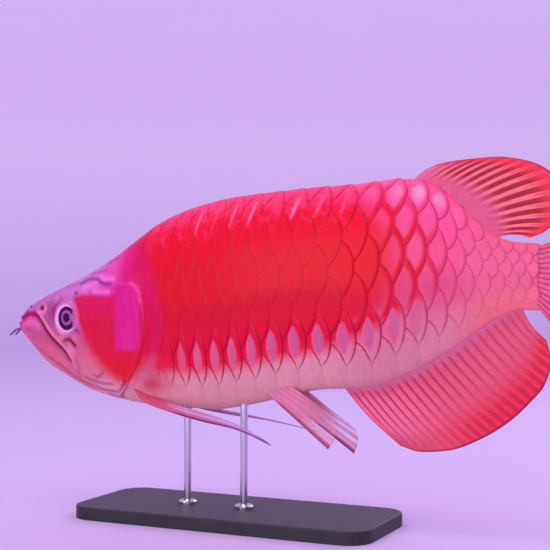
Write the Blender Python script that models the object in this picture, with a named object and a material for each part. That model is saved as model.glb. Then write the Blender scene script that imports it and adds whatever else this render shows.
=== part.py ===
"""Super red Asian arowana as a still, life-size display model on a plain stand.

Run it with: blender --background --python part.py
The fish swims toward -X with its left side on -Y, and the origin lies under the middle of the
stand's base. Driving dimensions are in millimetres, and MM turns them into metres.
"""
import math
from functools import lru_cache

import bmesh
import bpy
import numpy as np
from mathutils import Matrix, Vector
from mathutils.geometry import delaunay_2d_cdt

MM = 0.001
GAP = 0.3
BODY_CLEAR = 0.4
ROOT_GAP = 0.6

# Outline of the body in the side view as (x, z), and its half width as (x, y).
BACK = [(-245.5, 178), (-244, 183.5), (-240, 190), (-235, 195.3), (-223, 203.5), (-211, 209.8),
        (-187, 219.5), (-163, 230), (-139, 242), (-105, 263), (-72, 283), (-39, 294.5), (4, 303),
        (65, 308), (125, 311), (165, 314.5), (180, 313.5), (198, 306), (216, 292), (234, 275),
        (250, 262.5), (267, 257.5), (285, 256.5)]
BELLY = [(-245.5, 177), (-244, 173.5), (-238, 167.5), (-229, 158.5), (-217, 146.5), (-205, 138),
         (-187, 129), (-163, 118), (-136, 110.5), (-105, 106), (-60, 103.3), (-22, 103.3), (4, 107),
         (25, 111.5), (55, 119.5), (95, 127), (110, 127.5), (134, 129.5), (162, 139), (207, 163.5),
         (251, 193.5), (270, 200.5), (285, 199.5)]
HALF_WIDTH = [(-245.5, 1.5), (-243, 6), (-238, 9.5), (-228, 13), (-212, 16.5), (-191, 20),
              (-165, 23.5), (-139, 27), (-105, 30), (-60, 32), (0, 32.5), (60, 31), (110, 28),
              (150, 23), (190, 17), (225, 12), (255, 8.5), (285, 5.5)]
# How the section changes along the body: height of its widest level as a share of its depth, and
# how square its upper and lower parts are, where 2 is an ellipse.
WIDEST = [(-245.5, 0.6), (-190, 0.6), (-105, 0.56), (110, 0.55), (200, 0.5), (285, 0.5)]
UPPER_SQUARENESS = [(-245.5, 2.6), (-190, 3.2), (-120, 2.7), (0, 2.5), (150, 2.3), (285, 2.2)]
LOWER_SQUARENESS = [(-245.5, 2.2), (-190, 2.0), (-105, 1.8), (0, 1.65), (110, 1.7), (285, 2.2)]
SNOUT_X = -245.5
VENT_X = 110.0
TAIL_BASE_X = 285.0

# Where the head ends, as (share of the way round from back to belly, x).
SHOULDER = [(0, -113), (0.2, -98), (0.36, -82), (0.55, -76), (0.72, -83), (0.82, -99), (0.9, -111), (1, -121)]

# Scales lie in staggered rows, the foremost on top. ROW_SHARES says where each row's middle lies
# on the way from back to belly, on the trunk and behind the dorsal fin, and SCALE_PITCH how long
# the part of a scale that shows is, along x.
ROW_SHARES = [0, 0.148, 0.296, 0.444, 0.592, 0.74, 0.888, 1.036]
ROW_SHARES_REAR = [0, 0.1, 0.225, 0.385, 0.55, 0.73, 0.89, 1.04]
SCALE_PITCH = [(-80, 16.5), (0, 18.5), (50, 22), (90, 23.5), (130, 23), (160, 20.5), (190, 17.5),
               (220, 15), (250, 12), (285, 10)]
SCALE_RISE = 1.5
SCALE_RUN = 1.3

# Head, in the side view.
EYE = (-175.0, 187.0)
EYE_RADIUS = 14.8
EYE_DEPTH = 9.0
EYE_PROUD = 4.0
ORBIT_RISE = 1.1
MOUTH = [(-262, 182), (-245, 183.5), (-235, 186.5), (-224, 190.5), (-214, 189.5), (-203, 180),
         (-188, 165.5), (-173, 144.5)]
JAW_HINGE = [(-166, 134), (-158, 100)]
LIP_RISE = 1.1
LIP_WIDTH = 3.2
MAXILLA_TOP = [(-216, 197), (-204, 184), (-191, 174), (-180, 167), (-168, 161), (-165, 153)]
MAXILLA_RISE = 1.3
NOSTRILS = [(-207.5, 197), (-224, 198.5)]
NOSTRIL_RADIUS = 2.2
NOSTRIL_RIM = 0.7
NOSTRIL_DEPTH = 2.2
CHEEK_SEAMS = [[(-160, 199), (-146, 205), (-121, 207)], [(-160, 176), (-145, 170), (-123, 168)],
               [(-160, 150), (-145, 138), (-130, 131)]]
SEAM_DEPTH = 0.8
SEAM_HALF = 2.2
BARBEL = [(-245.8, 175.5), (-249.5, 174.4), (-253.5, 171.4), (-257.5, 167.8)]
BARBEL_RADIUS = 1.15
BARBEL_SPREAD = 3.2
BARBEL_PARTING = 0.12
BARBEL_TIP_SHARE = 0.45
BARBEL_PARTS = 6

# Gill cover: its front edge, and its rear edge, as (z, x).
COVER_FRONT = [(113, -131), (130, -128), (160, -121), (206, -119), (222, -112)]
COVER_REAR = [(113, -121), (121, -112), (130, -106), (141, -96), (159, -87), (180, -80.5), (210, -84),
              (222, -94)]
COVER_UNDERSIDE = 0.45
COVER_EDGE = 1.05
COVER_RISE = 1.95

# Fins: the line of their roots and their outer margin, both from the first ray to the last.
RAY_RISE = 0.55
RAY_HALF_SHARE = 0.24
MEMBRANE_HALF = 0.3
ROOT_SHARE = 0.15
MEDIAN_ROOT_HALF = 1.8
CAUDAL_ROOT_HALF = 4.2
PELVIC_ROOT_HALF = 1.4
FIN_BOW = 2.5
SWAY_REACH = 2.4
SWAY_LENGTH = 120.0
DORSAL_ROOT = (176.0, 252.0)
DORSAL_MARGIN = [(198, 326.6), (216, 329.2), (234, 330.6), (249, 331.4), (264, 329.6), (280, 325.5),
                 (294, 317.5), (303, 307), (306, 296), (303.5, 284), (297, 273), (288, 265.5), (277, 261.5)]
ANAL_ROOT = (110.5, 272.0)
ANAL_MARGIN = [(162, 78.5), (180, 74.6), (207, 77.5), (234, 88), (260, 105), (277, 121.5), (290, 138),
               (295, 157), (291, 175)]
CAUDAL_ROOT = (255.0, 201.0)
CAUDAL_MARGIN = [(318, 263), (346, 261), (366, 248), (377, 227), (378, 205), (369, 183), (352, 168),
                 (332, 161), (313, 166)]
PECTORAL_ROOT = [(-102, 0.875), (-88, 0.935)]
PECTORAL_LEAD = [(-85, -21, 108), (-58, -24, 100.8), (-17, -31, 94), (19, -38, 90), (64, -55, 79.5)]
PECTORAL_MARGIN = [(64, -55, 79.5), (45, -41, 85.5), (20, -27, 91.5), (-12, -17, 97), (-50, -13, 102)]
PELVIC_ROOT = [(34, 0.945), (60, 0.94)]
PELVIC_MARGIN = [(103, -24, 75.7), (107.5, -21, 84.5), (109.5, -18, 93), (106, -15, 101), (96, -12, 108)]
RIGHT_PELVIC_DROOP = (5, -2, -10)

STAND_SIZE = (300.0, 120.0, 12.0)
STAND_CORNER = 24.0
STAND_EDGE = 1.5
ROD_RADIUS = 3.5
ROD_PLACES = {"front": -52.0, "rear": 8.0}
ROD_FOOT = (9.0, 3.0)
ROD_FOOT_CHAMFER = 1.0
ROD_SUNK = 9.0

# Colours, linear: from the flank's deep red to the pale rear and the mauve of the head's top.
FLANK_RED = (0.72, 0.02, 0.06)
REAR_PINK = (0.78, 0.12, 0.27)
HEAD_MAUVE = (0.55, 0.09, 0.30)
COVER_MAGENTA = (0.68, 0.02, 0.22)
IRIS_BLACK = (0.05, 0.02, 0.08)
FIN_RED = (0.80, 0.06, 0.12)
FIN_PALE = (0.80, 0.30, 0.42)
BOARD_BLACK = (0.02, 0.02, 0.022)
ROD_STEEL = (0.6, 0.6, 0.62)


def smooth_line(points):
    """The smooth curve y(x) through points that run toward +x, without overshoot."""
    x, y = np.array(points, float).T
    slope = np.diff(y) / np.diff(x)
    tangent = np.empty_like(y)
    tangent[0], tangent[-1] = slope[0], slope[-1]
    product = slope[:-1] * slope[1:]
    total = slope[:-1] + slope[1:]
    tangent[1:-1] = np.where(product > 0, 2 * product / np.where(total == 0, 1, total), 0)

    def at(where):
        i = int(np.clip(np.searchsorted(x, where) - 1, 0, len(x) - 2))
        width = x[i + 1] - x[i]
        t = min(max((where - x[i]) / width, 0.0), 1.0)
        start = (1 + 2 * t) * (1 - t) ** 2 * y[i] + t * (1 - t) ** 2 * width * tangent[i]
        end = t * t * (3 - 2 * t) * y[i + 1] + t * t * (t - 1) * width * tangent[i + 1]
        return float(start + end)

    return at


def smooth_path(points):
    """The smooth curve through points in any direction, from 0 at the first to 1 at the last."""
    points = [Vector(p) for p in points]
    far = np.concatenate([[0], np.cumsum([(b - a).length for a, b in zip(points, points[1:])])])
    lines = [smooth_line(list(zip(far / far[-1], axis))) for axis in zip(*points)]
    return lambda t: Vector([line(t) for line in lines])


back, belly, half_width = smooth_line(BACK), smooth_line(BELLY), smooth_line(HALF_WIDTH)
widest, upper, lower = smooth_line(WIDEST), smooth_line(UPPER_SQUARENESS), smooth_line(LOWER_SQUARENESS)


@lru_cache(maxsize=None)
def ring(x):
    """Left half of the section at x, from back to belly: y, z, share of the way round, normals."""
    angle = np.linspace(math.pi / 2, -math.pi / 2, 161)
    top, low = back(x), belly(x)
    level = low + widest(x) * (top - low)
    power = 2 / np.where(angle > 0, upper(x), lower(x))
    y = -half_width(x) * np.abs(np.cos(angle)) ** power
    z = level + np.where(angle > 0, top - level, low - level) * np.abs(np.sin(angle)) ** power
    y[0] = y[-1] = 0
    along = np.concatenate([[0], np.cumsum(np.hypot(np.diff(y), np.diff(z)))])
    dy, dz = np.gradient(y, along), np.gradient(z, along)
    out = np.stack([dz, -dy]) / np.hypot(dy, dz)
    out[:, 0], out[:, -1] = (0, 1), (0, -1)
    return y, z, along / along[-1], out


def on_body(x, share, lift=0.0):
    """The place on the left flank at x, at a share of the way from back to belly, lifted off it."""
    y, z, along, out = ring(round(x, 3))
    n = Vector((np.interp(share, along, out[0]), np.interp(share, along, out[1]))).normalized()
    return Vector((x, np.interp(share, along, y) + lift * n[0], np.interp(share, along, z) + lift * n[1]))


def share_at(x, z):
    """How far round from back to belly the left flank is at height z."""
    _, heights, along, _ = ring(round(x, 3))
    return float(np.interp(-z, -heights, along))


def body_normal(x, share):
    """The direction straight out of the left flank."""
    step = 1.0
    forward = on_body(x + step, share) - on_body(x - step, share)
    down = on_body(x, min(share + 0.01, 1)) - on_body(x, max(share - 0.01, 0))
    n = down.cross(forward).normalized()
    return n if n.y < 0 else -n


collection = bpy.data.collections.new("asian_arowana")
cutters = bpy.data.collections.new("cutters")


def material(name, colour, roughness, metallic=0.0):
    found = bpy.data.materials.get(name)
    if found:
        return found
    made = bpy.data.materials.new(name)
    made.use_nodes = True
    surface = made.node_tree.nodes["Principled BSDF"]
    surface.inputs["Base Color"].default_value = (*colour, 1)
    surface.inputs["Roughness"].default_value = roughness
    surface.inputs["Metallic"].default_value = metallic
    return made


def make_object(name, bm, finish, home=collection):
    """Turns a bmesh in millimetres into an object in metres."""
    bmesh.ops.recalc_face_normals(bm, faces=bm.faces)
    bmesh.ops.scale(bm, vec=(MM, MM, MM), verts=bm.verts)
    mesh = bpy.data.meshes.new(name)
    bm.to_mesh(mesh)
    bm.free()
    if finish:
        mesh.materials.append(finish)
    made = bpy.data.objects.new(name, mesh)
    home.objects.link(made)
    return made


def as_cutter(obj):
    obj.hide_render = True
    obj.display_type = "WIRE"
    return obj


def cut(obj, operation, cutter):
    """Applies a Boolean, and keeps the largest closed surface of what it leaves."""
    boolean = obj.modifiers.new(operation.lower(), "BOOLEAN")
    boolean.operation = operation
    boolean.object = cutter
    bpy.context.view_layer.update()
    evaluated = obj.evaluated_get(bpy.context.evaluated_depsgraph_get())
    mesh = bpy.data.meshes.new_from_object(evaluated)
    obj.modifiers.remove(boolean)
    bm = bmesh.new()
    bm.from_mesh(mesh)
    bmesh.ops.triangulate(bm, faces=bm.faces)
    bmesh.ops.remove_doubles(bm, verts=bm.verts, dist=0.04 * MM)
    bmesh.ops.dissolve_degenerate(bm, edges=bm.edges, dist=0.02 * MM)
    bmesh.ops.triangulate(bm, faces=bm.faces)
    left, pieces = set(bm.verts), []
    while left:
        stack, piece = [left.pop()], set()
        while stack:
            vertex = stack.pop()
            piece.add(vertex)
            near = {e.other_vert(vertex) for e in vertex.link_edges} & left
            left -= near
            stack.extend(near)
        pieces.append(piece)
    largest = max(pieces, key=len)
    bmesh.ops.delete(bm, geom=[v for v in bm.verts if v not in largest], context="VERTS")
    bm.to_mesh(mesh)
    bm.free()
    obj.data = mesh


def skin_patch(outline, lines, loose, lift, wrap):
    """Triangles of the left flank inside an outline of (x, share) points, through given lines.

    lift(x, share) is how far each vertex stands off the smooth body. wrap is about how many
    millimetres one turn from back to belly takes, so that the triangles come out well shaped.
    """
    points, edges = [], []
    for path, closed in [(outline, True)] + [(line, False) for line in lines]:
        first = len(points)
        points += path
        edges += [(first + i, first + i + 1) for i in range(len(path) - 1)]
        if closed:
            edges.append((first + len(path) - 1, first))
    points += loose
    flat = [Vector((x, share * wrap)) for x, share in points]
    places, _, faces, origins, _, _ = delaunay_2d_cdt(flat, edges, [], 1, 0.05)
    spots = [(p.x, min(max(p.y / wrap, 0), 1)) for p in places]
    number = {old: new for new, olds in enumerate(origins) for old in olds}
    rim = [number[i] for i in range(len(outline))]
    return [on_body(x, share, lift(x, share)) for x, share in spots], spots, faces, rim


def flank_pair(name, outline, lines, loose, lift, wrap, finish, front, rear):
    """A closed piece of the body: the left flank, its mirror image, and flat joins across both ends.

    front and rear say which stretches of the outline's points are joined straight across.
    """
    places, spots, faces, rim = skin_patch(outline, lines, loose, lift, wrap)
    bm = bmesh.new()
    left = [bm.verts.new(p) for p in places]
    middle = [share < 1e-6 or share > 1 - 1e-6 for _, share in spots]
    right = [v if m else bm.verts.new((p.x, -p.y, p.z)) for v, m, p in zip(left, middle, places)]
    for face in faces:
        bm.faces.new([left[i] for i in face])
        bm.faces.new([right[i] for i in reversed(face)])
    for stretch in (front, rear):
        ends = [rim[i % len(outline)] for i in stretch]
        for a, b in zip(ends, ends[1:]):
            corners = [left[a], left[b], right[b], right[a]]
            corners = [v for i, v in enumerate(corners) if v not in corners[:i]]
            if len(corners) > 2:
                bm.faces.new(corners)
    bmesh.ops.triangulate(bm, faces=bm.faces)
    return make_object(name, bm, finish)


def band(start, end, step):
    """Evenly spaced numbers from start to end, about a step apart."""
    return np.linspace(start, end, max(2, round(abs(end - start) / step) + 1)).tolist()


def body_outline(front, rear, step):
    """Points round a piece of the left flank, and which of them lie on its front and rear.

    front and rear are curves that give x for each share of the way from back to belly.
    """
    shares = band(0, 1, 1 / 14)
    path = [(front(s), s) for s in shares]
    path += [(x, 1.0) for x in band(front(1), rear(1), step)[1:-1]]
    rear_from = len(path)
    path += [(rear(s), s) for s in reversed(shares)]
    rear_to = len(path)
    path += [(x, 0.0) for x in band(rear(0), front(0), step)[1:-1]]
    return path, range(len(shares)), range(rear_from, rear_to)


def lattice(front, rear, step_x, step_share):
    """Loose points in staggered rows between two curves."""
    found = []
    for row, share in enumerate(band(0, 1, step_share)[1:-1]):
        start, end = front(share) + 0.6 * step_x, rear(share) - 0.4 * step_x
        found += [(x + (row % 2) * 0.3 * step_x, share) for x in np.arange(start, end - 0.3 * step_x, step_x)]
    return found


def straight(x):
    return lambda share: x


shoulder = smooth_line(SHOULDER)
pitch = smooth_line(SCALE_PITCH)


def ramp(value, low, high):
    """0 up to low, 1 from high, and a smooth rise between."""
    t = min(max((value - low) / (high - low), 0.0), 1.0)
    return t * t * (3 - 2 * t)


def scale_columns():
    """Where each column of scales ends along x, from ahead of the shoulder to past the tail."""
    found = [-160.0]
    while found[-1] < TAIL_BASE_X + 30:
        found.append(found[-1] + pitch(found[-1]))
    return found


COLUMNS = scale_columns()


def column_x(column):
    return float(np.interp(column, range(len(COLUMNS)), COLUMNS))


def column_at(x):
    return float(np.interp(x, COLUMNS, range(len(COLUMNS))))


def row_shares(x):
    rear = ramp(x, 90, 190)
    return [(1 - rear) * a + rear * b for a, b in zip(ROW_SHARES, ROW_SHARES_REAR)]


def rim_setback(rows_off):
    """How far a scale's rounded rim lies ahead of its tip, in columns, some rows off its middle."""
    return 1 - math.sqrt(max(0, 1 - rows_off ** 2))


def scale_height(x, share):
    """How far the uppermost scale stands off the body, before it is faded out near fins."""
    column = column_at(x)
    row = float(np.interp(share, row_shares(x), range(len(ROW_SHARES))))
    tips = []
    for middle in {math.floor(row), math.ceil(row)}:
        needed = column + rim_setback(row - middle)
        shift = (middle % 2) / 2
        tips.append(math.ceil(needed - shift - 1e-9) + shift)
    return SCALE_RISE * max(0, 1 - (min(tips) - column) / SCALE_RUN)


def scale_fade(x, share):
    """1 where scales stand out in full, and 0 by the shoulder, along the fins and on the belly."""
    off_shoulder = ramp(x - shoulder(share), 1, 12)
    off_dorsal = 1 - (1 - ramp(share, 0.03, 0.08)) * ramp(x, 168, 176) * (1 - ramp(x, 256, 262))
    off_belly = 1 - ramp(share, 0.86, 0.93)
    root_x, root_share = PECTORAL_ROOT[1]
    off_pectoral = ramp(math.hypot((x - root_x) / 20, (share - root_share) / 0.1), 0.6, 1.1)
    return off_shoulder * off_dorsal * off_belly * off_pectoral


def scale_lift(x, share):
    fade = scale_fade(x, share)
    return fade * scale_height(x, share) if fade > 0 else 0.0


def scale_lines(front, rear):
    """For each scale, points just inside its rim and just past it, between two curves."""
    lines = []
    for middle in range(7):
        for tip in range(len(COLUMNS)):
            for past in (-0.04, 0.04):
                line = []
                for off in (-0.78, -0.42, 0, 0.42, 0.78):
                    x = column_x(tip + (middle % 2) / 2 - rim_setback(off) + past)
                    share = float(np.interp(middle + off, range(len(ROW_SHARES)), row_shares(x)))
                    inside = front(share) + 2 < x < rear(share) - 2 and 0.012 < share < 0.985
                    if inside and scale_fade(x, share) > 0.04:
                        line.append((x, share))
                lines.append(line)
    return [line for line in lines if line]


def build_body():
    ends = [("trunk", lambda share: shoulder(share) + GAP, straight(VENT_X), 10, 200,
             material("red_scaled_flank", FLANK_RED, 0.35)),
            ("tail_stem", straight(VENT_X + GAP), straight(TAIL_BASE_X), 5, 150,
             material("pink_scaled_tail", REAR_PINK, 0.35))]
    for name, front_line, rear_line, step, wrap, finish in ends:
        outline, front, rear = body_outline(front_line, rear_line, step)
        loose = [p for p in lattice(front_line, rear_line, 13, 1 / 14) if scale_fade(*p) <= 0.04]
        lines = scale_lines(front_line, rear_line)
        flank_pair(name, outline, lines, loose, scale_lift, wrap, finish, front, rear)


def prism(name, corners):
    """A flat outline in the side view, carried right across the fish as a cutter."""
    aside = 2 * max(y for _, y in HALF_WIDTH)
    bm = bmesh.new()
    face = bm.faces.new([bm.verts.new((x, -aside, z)) for x, z in corners])
    across = bmesh.ops.extrude_face_region(bm, geom=[face])["geom"]
    bmesh.ops.translate(bm, vec=(0, 2 * aside, 0),
                        verts=[v for v in across if isinstance(v, bmesh.types.BMVert)])
    return as_cutter(make_object(name, bm, None, cutters))


def eye_ball(name, side, grow, home, finish):
    """A flattened eyeball square to the side of the head."""
    x, z = EYE
    share = share_at(x, z)
    out = body_normal(x, share)
    centre = on_body(x, share) + out * (EYE_PROUD - EYE_DEPTH)
    bm = bmesh.new()
    bmesh.ops.create_uvsphere(bm, u_segments=18, v_segments=10, radius=1)
    size = Matrix.Diagonal((EYE_RADIUS + grow, EYE_RADIUS + grow, EYE_DEPTH + grow, 1))
    turn = Vector((0, 0, 1)).rotation_difference(out).to_matrix().to_4x4()
    bmesh.ops.transform(bm, matrix=Matrix.Translation(centre) @ turn @ size, verts=bm.verts)
    if side == "right":
        bmesh.ops.scale(bm, vec=(1, -1, 1), verts=bm.verts)
    return make_object(name, bm, finish, home)


mouth = smooth_line(MOUTH)


def distance_to(line, x, z):
    """The distance in the side view from a point to a line of points."""
    found = []
    for a, b in zip(line, line[1:]):
        along, off = Vector(b) - Vector(a), Vector((x, z)) - Vector(a)
        t = min(max(off.dot(along) / along.length_squared, 0), 1)
        found.append((off - along * t).length)
    return min(found)


def mouth_line(end=MOUTH[-1][0]):
    return [(x, mouth(x)) for x in band(SNOUT_X - 2, end, 5)]


def maxilla_outline():
    """The upper jaw's bone, from the lip up to its own edge."""
    top = smooth_line(MAXILLA_TOP[:-1])
    edge = [(x, top(x)) for x in band(MAXILLA_TOP[0][0], MAXILLA_TOP[-2][0], 7)]
    return edge + [MAXILLA_TOP[-1]]


def head_lift(x, share):
    """The head's relief: lips, upper jaw bone, rim of the eye, nostrils and the cheek's seams."""
    place = on_body(x, share)
    z = place.z
    lip = LIP_RISE * (1 - ramp(distance_to(mouth_line(), x, z), LIP_WIDTH * 0.5, LIP_WIDTH))
    below_edge = MAXILLA_TOP[0][0] < x < MAXILLA_TOP[-1][0] and mouth(x) < z
    bone = 0.0
    if below_edge:
        top = float(np.interp(x, *zip(*MAXILLA_TOP)))
        bone = MAXILLA_RISE * ramp(top - z, -0.4, 0.4) * ramp(x - MAXILLA_TOP[0][0], 0, 4)
    from_eye = math.hypot(x - EYE[0], z - EYE[1]) - EYE_RADIUS
    orbit = ORBIT_RISE * (1 - ramp(from_eye, 1.5, 6))
    pits = 0.0
    for spot in NOSTRILS:
        far = math.hypot(x - spot[0], z - spot[1]) / NOSTRIL_RADIUS
        pits += NOSTRIL_RIM * (1 - ramp(far, 1.1, 1.9))
        pits -= NOSTRIL_DEPTH * (1 - ramp(far, 0.4, 1))
    seam = min(distance_to(line, x, z) for line in CHEEK_SEAMS)
    return max(lip, bone, orbit) + pits - SEAM_DEPTH * (1 - ramp(seam, 0, SEAM_HALF))


def circle(centre, radius, count):
    turns = np.linspace(0, math.tau, count, endpoint=False)
    found = [(centre[0] + radius * math.cos(a), centre[1] + radius * math.sin(a)) for a in turns]
    return found + found[:1]


def shifted(line, up):
    return [(x, z + up) for x, z in line]


def head_lines():
    """Lines of the side view that the head's triangles follow, as (x, share)."""
    lines = [circle(EYE, EYE_RADIUS + 1.8, 20), circle(EYE, EYE_RADIUS + 6.5, 16)]
    for spot in NOSTRILS:
        lines += [circle(spot, NOSTRIL_RADIUS * k, 8) for k in (0.4, 1.1, 2)]
    lines += [shifted(mouth_line()[1:], up) for up in (-4.5, -1.8, 1.8)]
    lines += [shifted(maxilla_outline(), up) for up in (-0.6, 0.8)]
    lines += [shifted(line, up) for line in CHEEK_SEAMS for up in (-SEAM_HALF, 0, SEAM_HALF)]
    return [[(x, share_at(x, z)) for x, z in line] for line in lines]


def build_head():
    mauve = material("mauve_head_skin", HEAD_MAUVE, 0.3)
    outline, front, rear = body_outline(straight(SNOUT_X), shoulder, 7)
    lines = head_lines()
    taken = [p for line in lines for p in line]

    def is_free(x, share):
        return all(abs(x - a) > 3.5 or abs(share - b) > 0.03 for a, b in taken)

    loose = [p for p in lattice(straight(SNOUT_X), shoulder, 8.5, 1 / 13) if is_free(*p)]
    head = flank_pair("head", outline, lines, loose, head_lift, 130, mauve, front, rear)
    jaw = head.copy()
    jaw.data = head.data.copy()
    jaw.name = "jaw_lower"
    collection.objects.link(jaw)
    edge = [(x, mouth(x)) for x in band(MOUTH[0][0], MOUTH[-1][0], 6)] + JAW_HINGE + [(MOUTH[0][0], 100)]
    cut(head, "DIFFERENCE", prism("jaw_space", edge))
    cut(jaw, "INTERSECT", prism("jaw_keep", [(x - GAP, z - GAP) for x, z in edge]))
    iris = material("silver_black_eye", IRIS_BLACK, 0.1)
    for side in ("left", "right"):
        cut(head, "DIFFERENCE", as_cutter(eye_ball("socket_" + side, side, GAP, cutters, None)))
        eye_ball("eye_" + side, side, 0, collection, iris)


def triangle_height(a, b, c):
    """The least height of a triangle: near nothing where its corners are almost in line."""
    longest = max((b - a).length, (c - b).length, (a - c).length)
    return (b - a).cross(c - a).length / longest


def plate(name, columns, rows, faces_of, finish):
    """A closed sheet from a grid of (s, t), both of whose faces are split alike.

    faces_of(s, t) gives the two points, one on each face. Each four-sided patch is split
    across the way that leaves the stouter triangles.
    """
    bm = bmesh.new()
    sheets = []
    for side in (0, 1):
        sheets.append([[bm.verts.new(faces_of(s, t)[side]) for t in rows] for s in columns])
    splits = [[(0, 1, 2), (0, 2, 3)], [(0, 1, 3), (1, 2, 3)]]
    for j in range(len(columns) - 1):
        for i in range(len(rows) - 1):
            patches = [(sheet[j][i], sheet[j + 1][i], sheet[j + 1][i + 1], sheet[j][i + 1])
                       for sheet in sheets]
            split = max(splits, key=lambda way: min(
                triangle_height(*(patch[k].co for k in corners)) for patch in patches for corners in way))
            for patch in patches:
                for corners in split:
                    bm.faces.new([patch[k] for k in corners])
    rims = []
    for sheet in sheets:
        rims.append([c[0] for c in sheet] + sheet[-1][1:] + [c[-1] for c in sheet[-2::-1]] + sheet[0][-2:0:-1])
    for i in range(len(rims[0])):
        j = (i + 1) % len(rims[0])
        bm.faces.new((rims[0][i], rims[0][j], rims[1][j], rims[1][i]))
    bmesh.ops.triangulate(bm, faces=[f for f in bm.faces if len(f.verts) > 3])
    return make_object(name, bm, finish)


def mirrored(obj, name):
    """A copy of an object on the fish's right side."""
    bm = bmesh.new()
    bm.from_mesh(obj.data)
    bmesh.ops.scale(bm, vec=(1 / MM, -1 / MM, 1 / MM), verts=bm.verts)
    return make_object(name, bm, obj.data.materials[0])


def build_gill_covers():
    magenta = material("magenta_gill_cover", COVER_MAGENTA, 0.3)
    front, rear = smooth_line(COVER_FRONT), smooth_line(COVER_REAR)
    low, high = COVER_FRONT[0][0], COVER_FRONT[-1][0]

    def faces_of(s, t):
        z = low + s * (high - low)
        x = front(z) + t * (rear(z) - front(z))
        share = share_at(x, z)
        edge = min(1, 6 * min(s, 1 - s, t, 1 - t))
        top = COVER_EDGE + (COVER_RISE - COVER_EDGE) * edge
        return on_body(x, share, COVER_UNDERSIDE), on_body(x, share, top)

    left = plate("gill_cover_left", band(0, 1, 1 / 12), band(0, 1, 1 / 6), faces_of, magenta)
    mirrored(left, "gill_cover_right")


def fin_columns(rays):
    """Shares of the way from the first ray to the last: each ray's crest and its two feet."""
    found = []
    for ray in range(rays):
        found += [(ray + off) / (rays - 1) for off in (-RAY_HALF_SHARE, 0, RAY_HALF_SHARE)]
    return found[1:-1]


def ray_crest(s, rays):
    """1 on a ray's crest and 0 at its feet and on the membrane."""
    off = abs(s * (rays - 1) - round(s * (rays - 1)))
    return max(0.0, 1 - off / RAY_HALF_SHARE)


def fin_half(s, t, rays, root):
    """Half the fin's thickness, from its fleshy root (t = 0) to its margin (t = 1)."""
    membrane = MEMBRANE_HALF + (root - MEMBRANE_HALF) * max(0, 1 - t / 0.4) ** 2
    ridge = RAY_RISE * ray_crest(s, rays) * min(1, t / ROOT_SHARE) * (1 - 0.45 * t)
    return membrane + ridge


def reach(s, t, rays):
    """How far out a point lies from root to margin: the membrane falls short of the ray tips."""
    return t * (1 - 0.025 * (1 - ray_crest(s, rays)) * t)


def sway(x, t):
    """The gentle wave of a spread fin to either side."""
    return SWAY_REACH * t * t * math.sin(math.tau * x / SWAY_LENGTH)


def median_fin(name, rays, rows, root_at, margin, bow, root_half, finish):
    edge = smooth_path([(x, 0, z) for x, z in margin])

    def faces_of(s, t):
        out = reach(s, t, rays)
        start, end = root_at(s), edge(s)
        ray = end - start
        middle = start.lerp(end, out) + Vector((-ray.z, 0, ray.x)).normalized() * bow * math.sin(math.pi * t)
        middle.y = sway(middle.x, out)
        half = fin_half(s, t, rays, root_half)
        return middle + Vector((0, -half, 0)), middle + Vector((0, half, 0))

    return plate(name, fin_columns(rays), band(0, 1, 1 / rows), faces_of, finish)


def build_median_fins():
    red = material("red_fin_membrane", FIN_RED, 0.4)

    def dorsal_root(s):
        x = DORSAL_ROOT[0] + s * (DORSAL_ROOT[1] - DORSAL_ROOT[0])
        return Vector((x, 0, back(x) + ROOT_GAP))

    def anal_root(s):
        x = ANAL_ROOT[0] + s * (ANAL_ROOT[1] - ANAL_ROOT[0])
        return Vector((x, 0, belly(x) - ROOT_GAP))

    def caudal_root(s):
        return Vector((TAIL_BASE_X + GAP, 0, CAUDAL_ROOT[0] + s * (CAUDAL_ROOT[1] - CAUDAL_ROOT[0])))

    median_fin("fin_dorsal", 17, 4, dorsal_root, DORSAL_MARGIN, FIN_BOW, MEDIAN_ROOT_HALF, red)
    median_fin("fin_anal", 25, 5, anal_root, ANAL_MARGIN, -FIN_BOW, MEDIAN_ROOT_HALF, red)
    median_fin("fin_caudal", 15, 5, caudal_root, CAUDAL_MARGIN, 0, CAUDAL_ROOT_HALF, red)


def body_cutter():
    """The smooth body grown by a hair, round the stand's rods, which it trims."""
    xs = band(min(ROD_PLACES.values()) - 4 * ROD_FOOT[0], max(ROD_PLACES.values()) + 4 * ROD_FOOT[0], 6)
    shares = band(0, 1, 1 / 24)
    bm = bmesh.new()
    rings = []
    for x in xs:
        left = [on_body(x, s, BODY_CLEAR) for s in shares]
        right = [Vector((p.x, -p.y, p.z)) for p in reversed(left[1:-1])]
        rings.append([bm.verts.new(p) for p in left + right])
    for a, b in zip(rings, rings[1:]):
        for i in range(len(a)):
            j = (i + 1) % len(a)
            bm.faces.new((a[i], a[j], b[j], b[i]))
    bm.faces.new(rings[0])
    bm.faces.new(rings[-1])
    return as_cutter(make_object("body_clear", bm, None, cutters))


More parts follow.
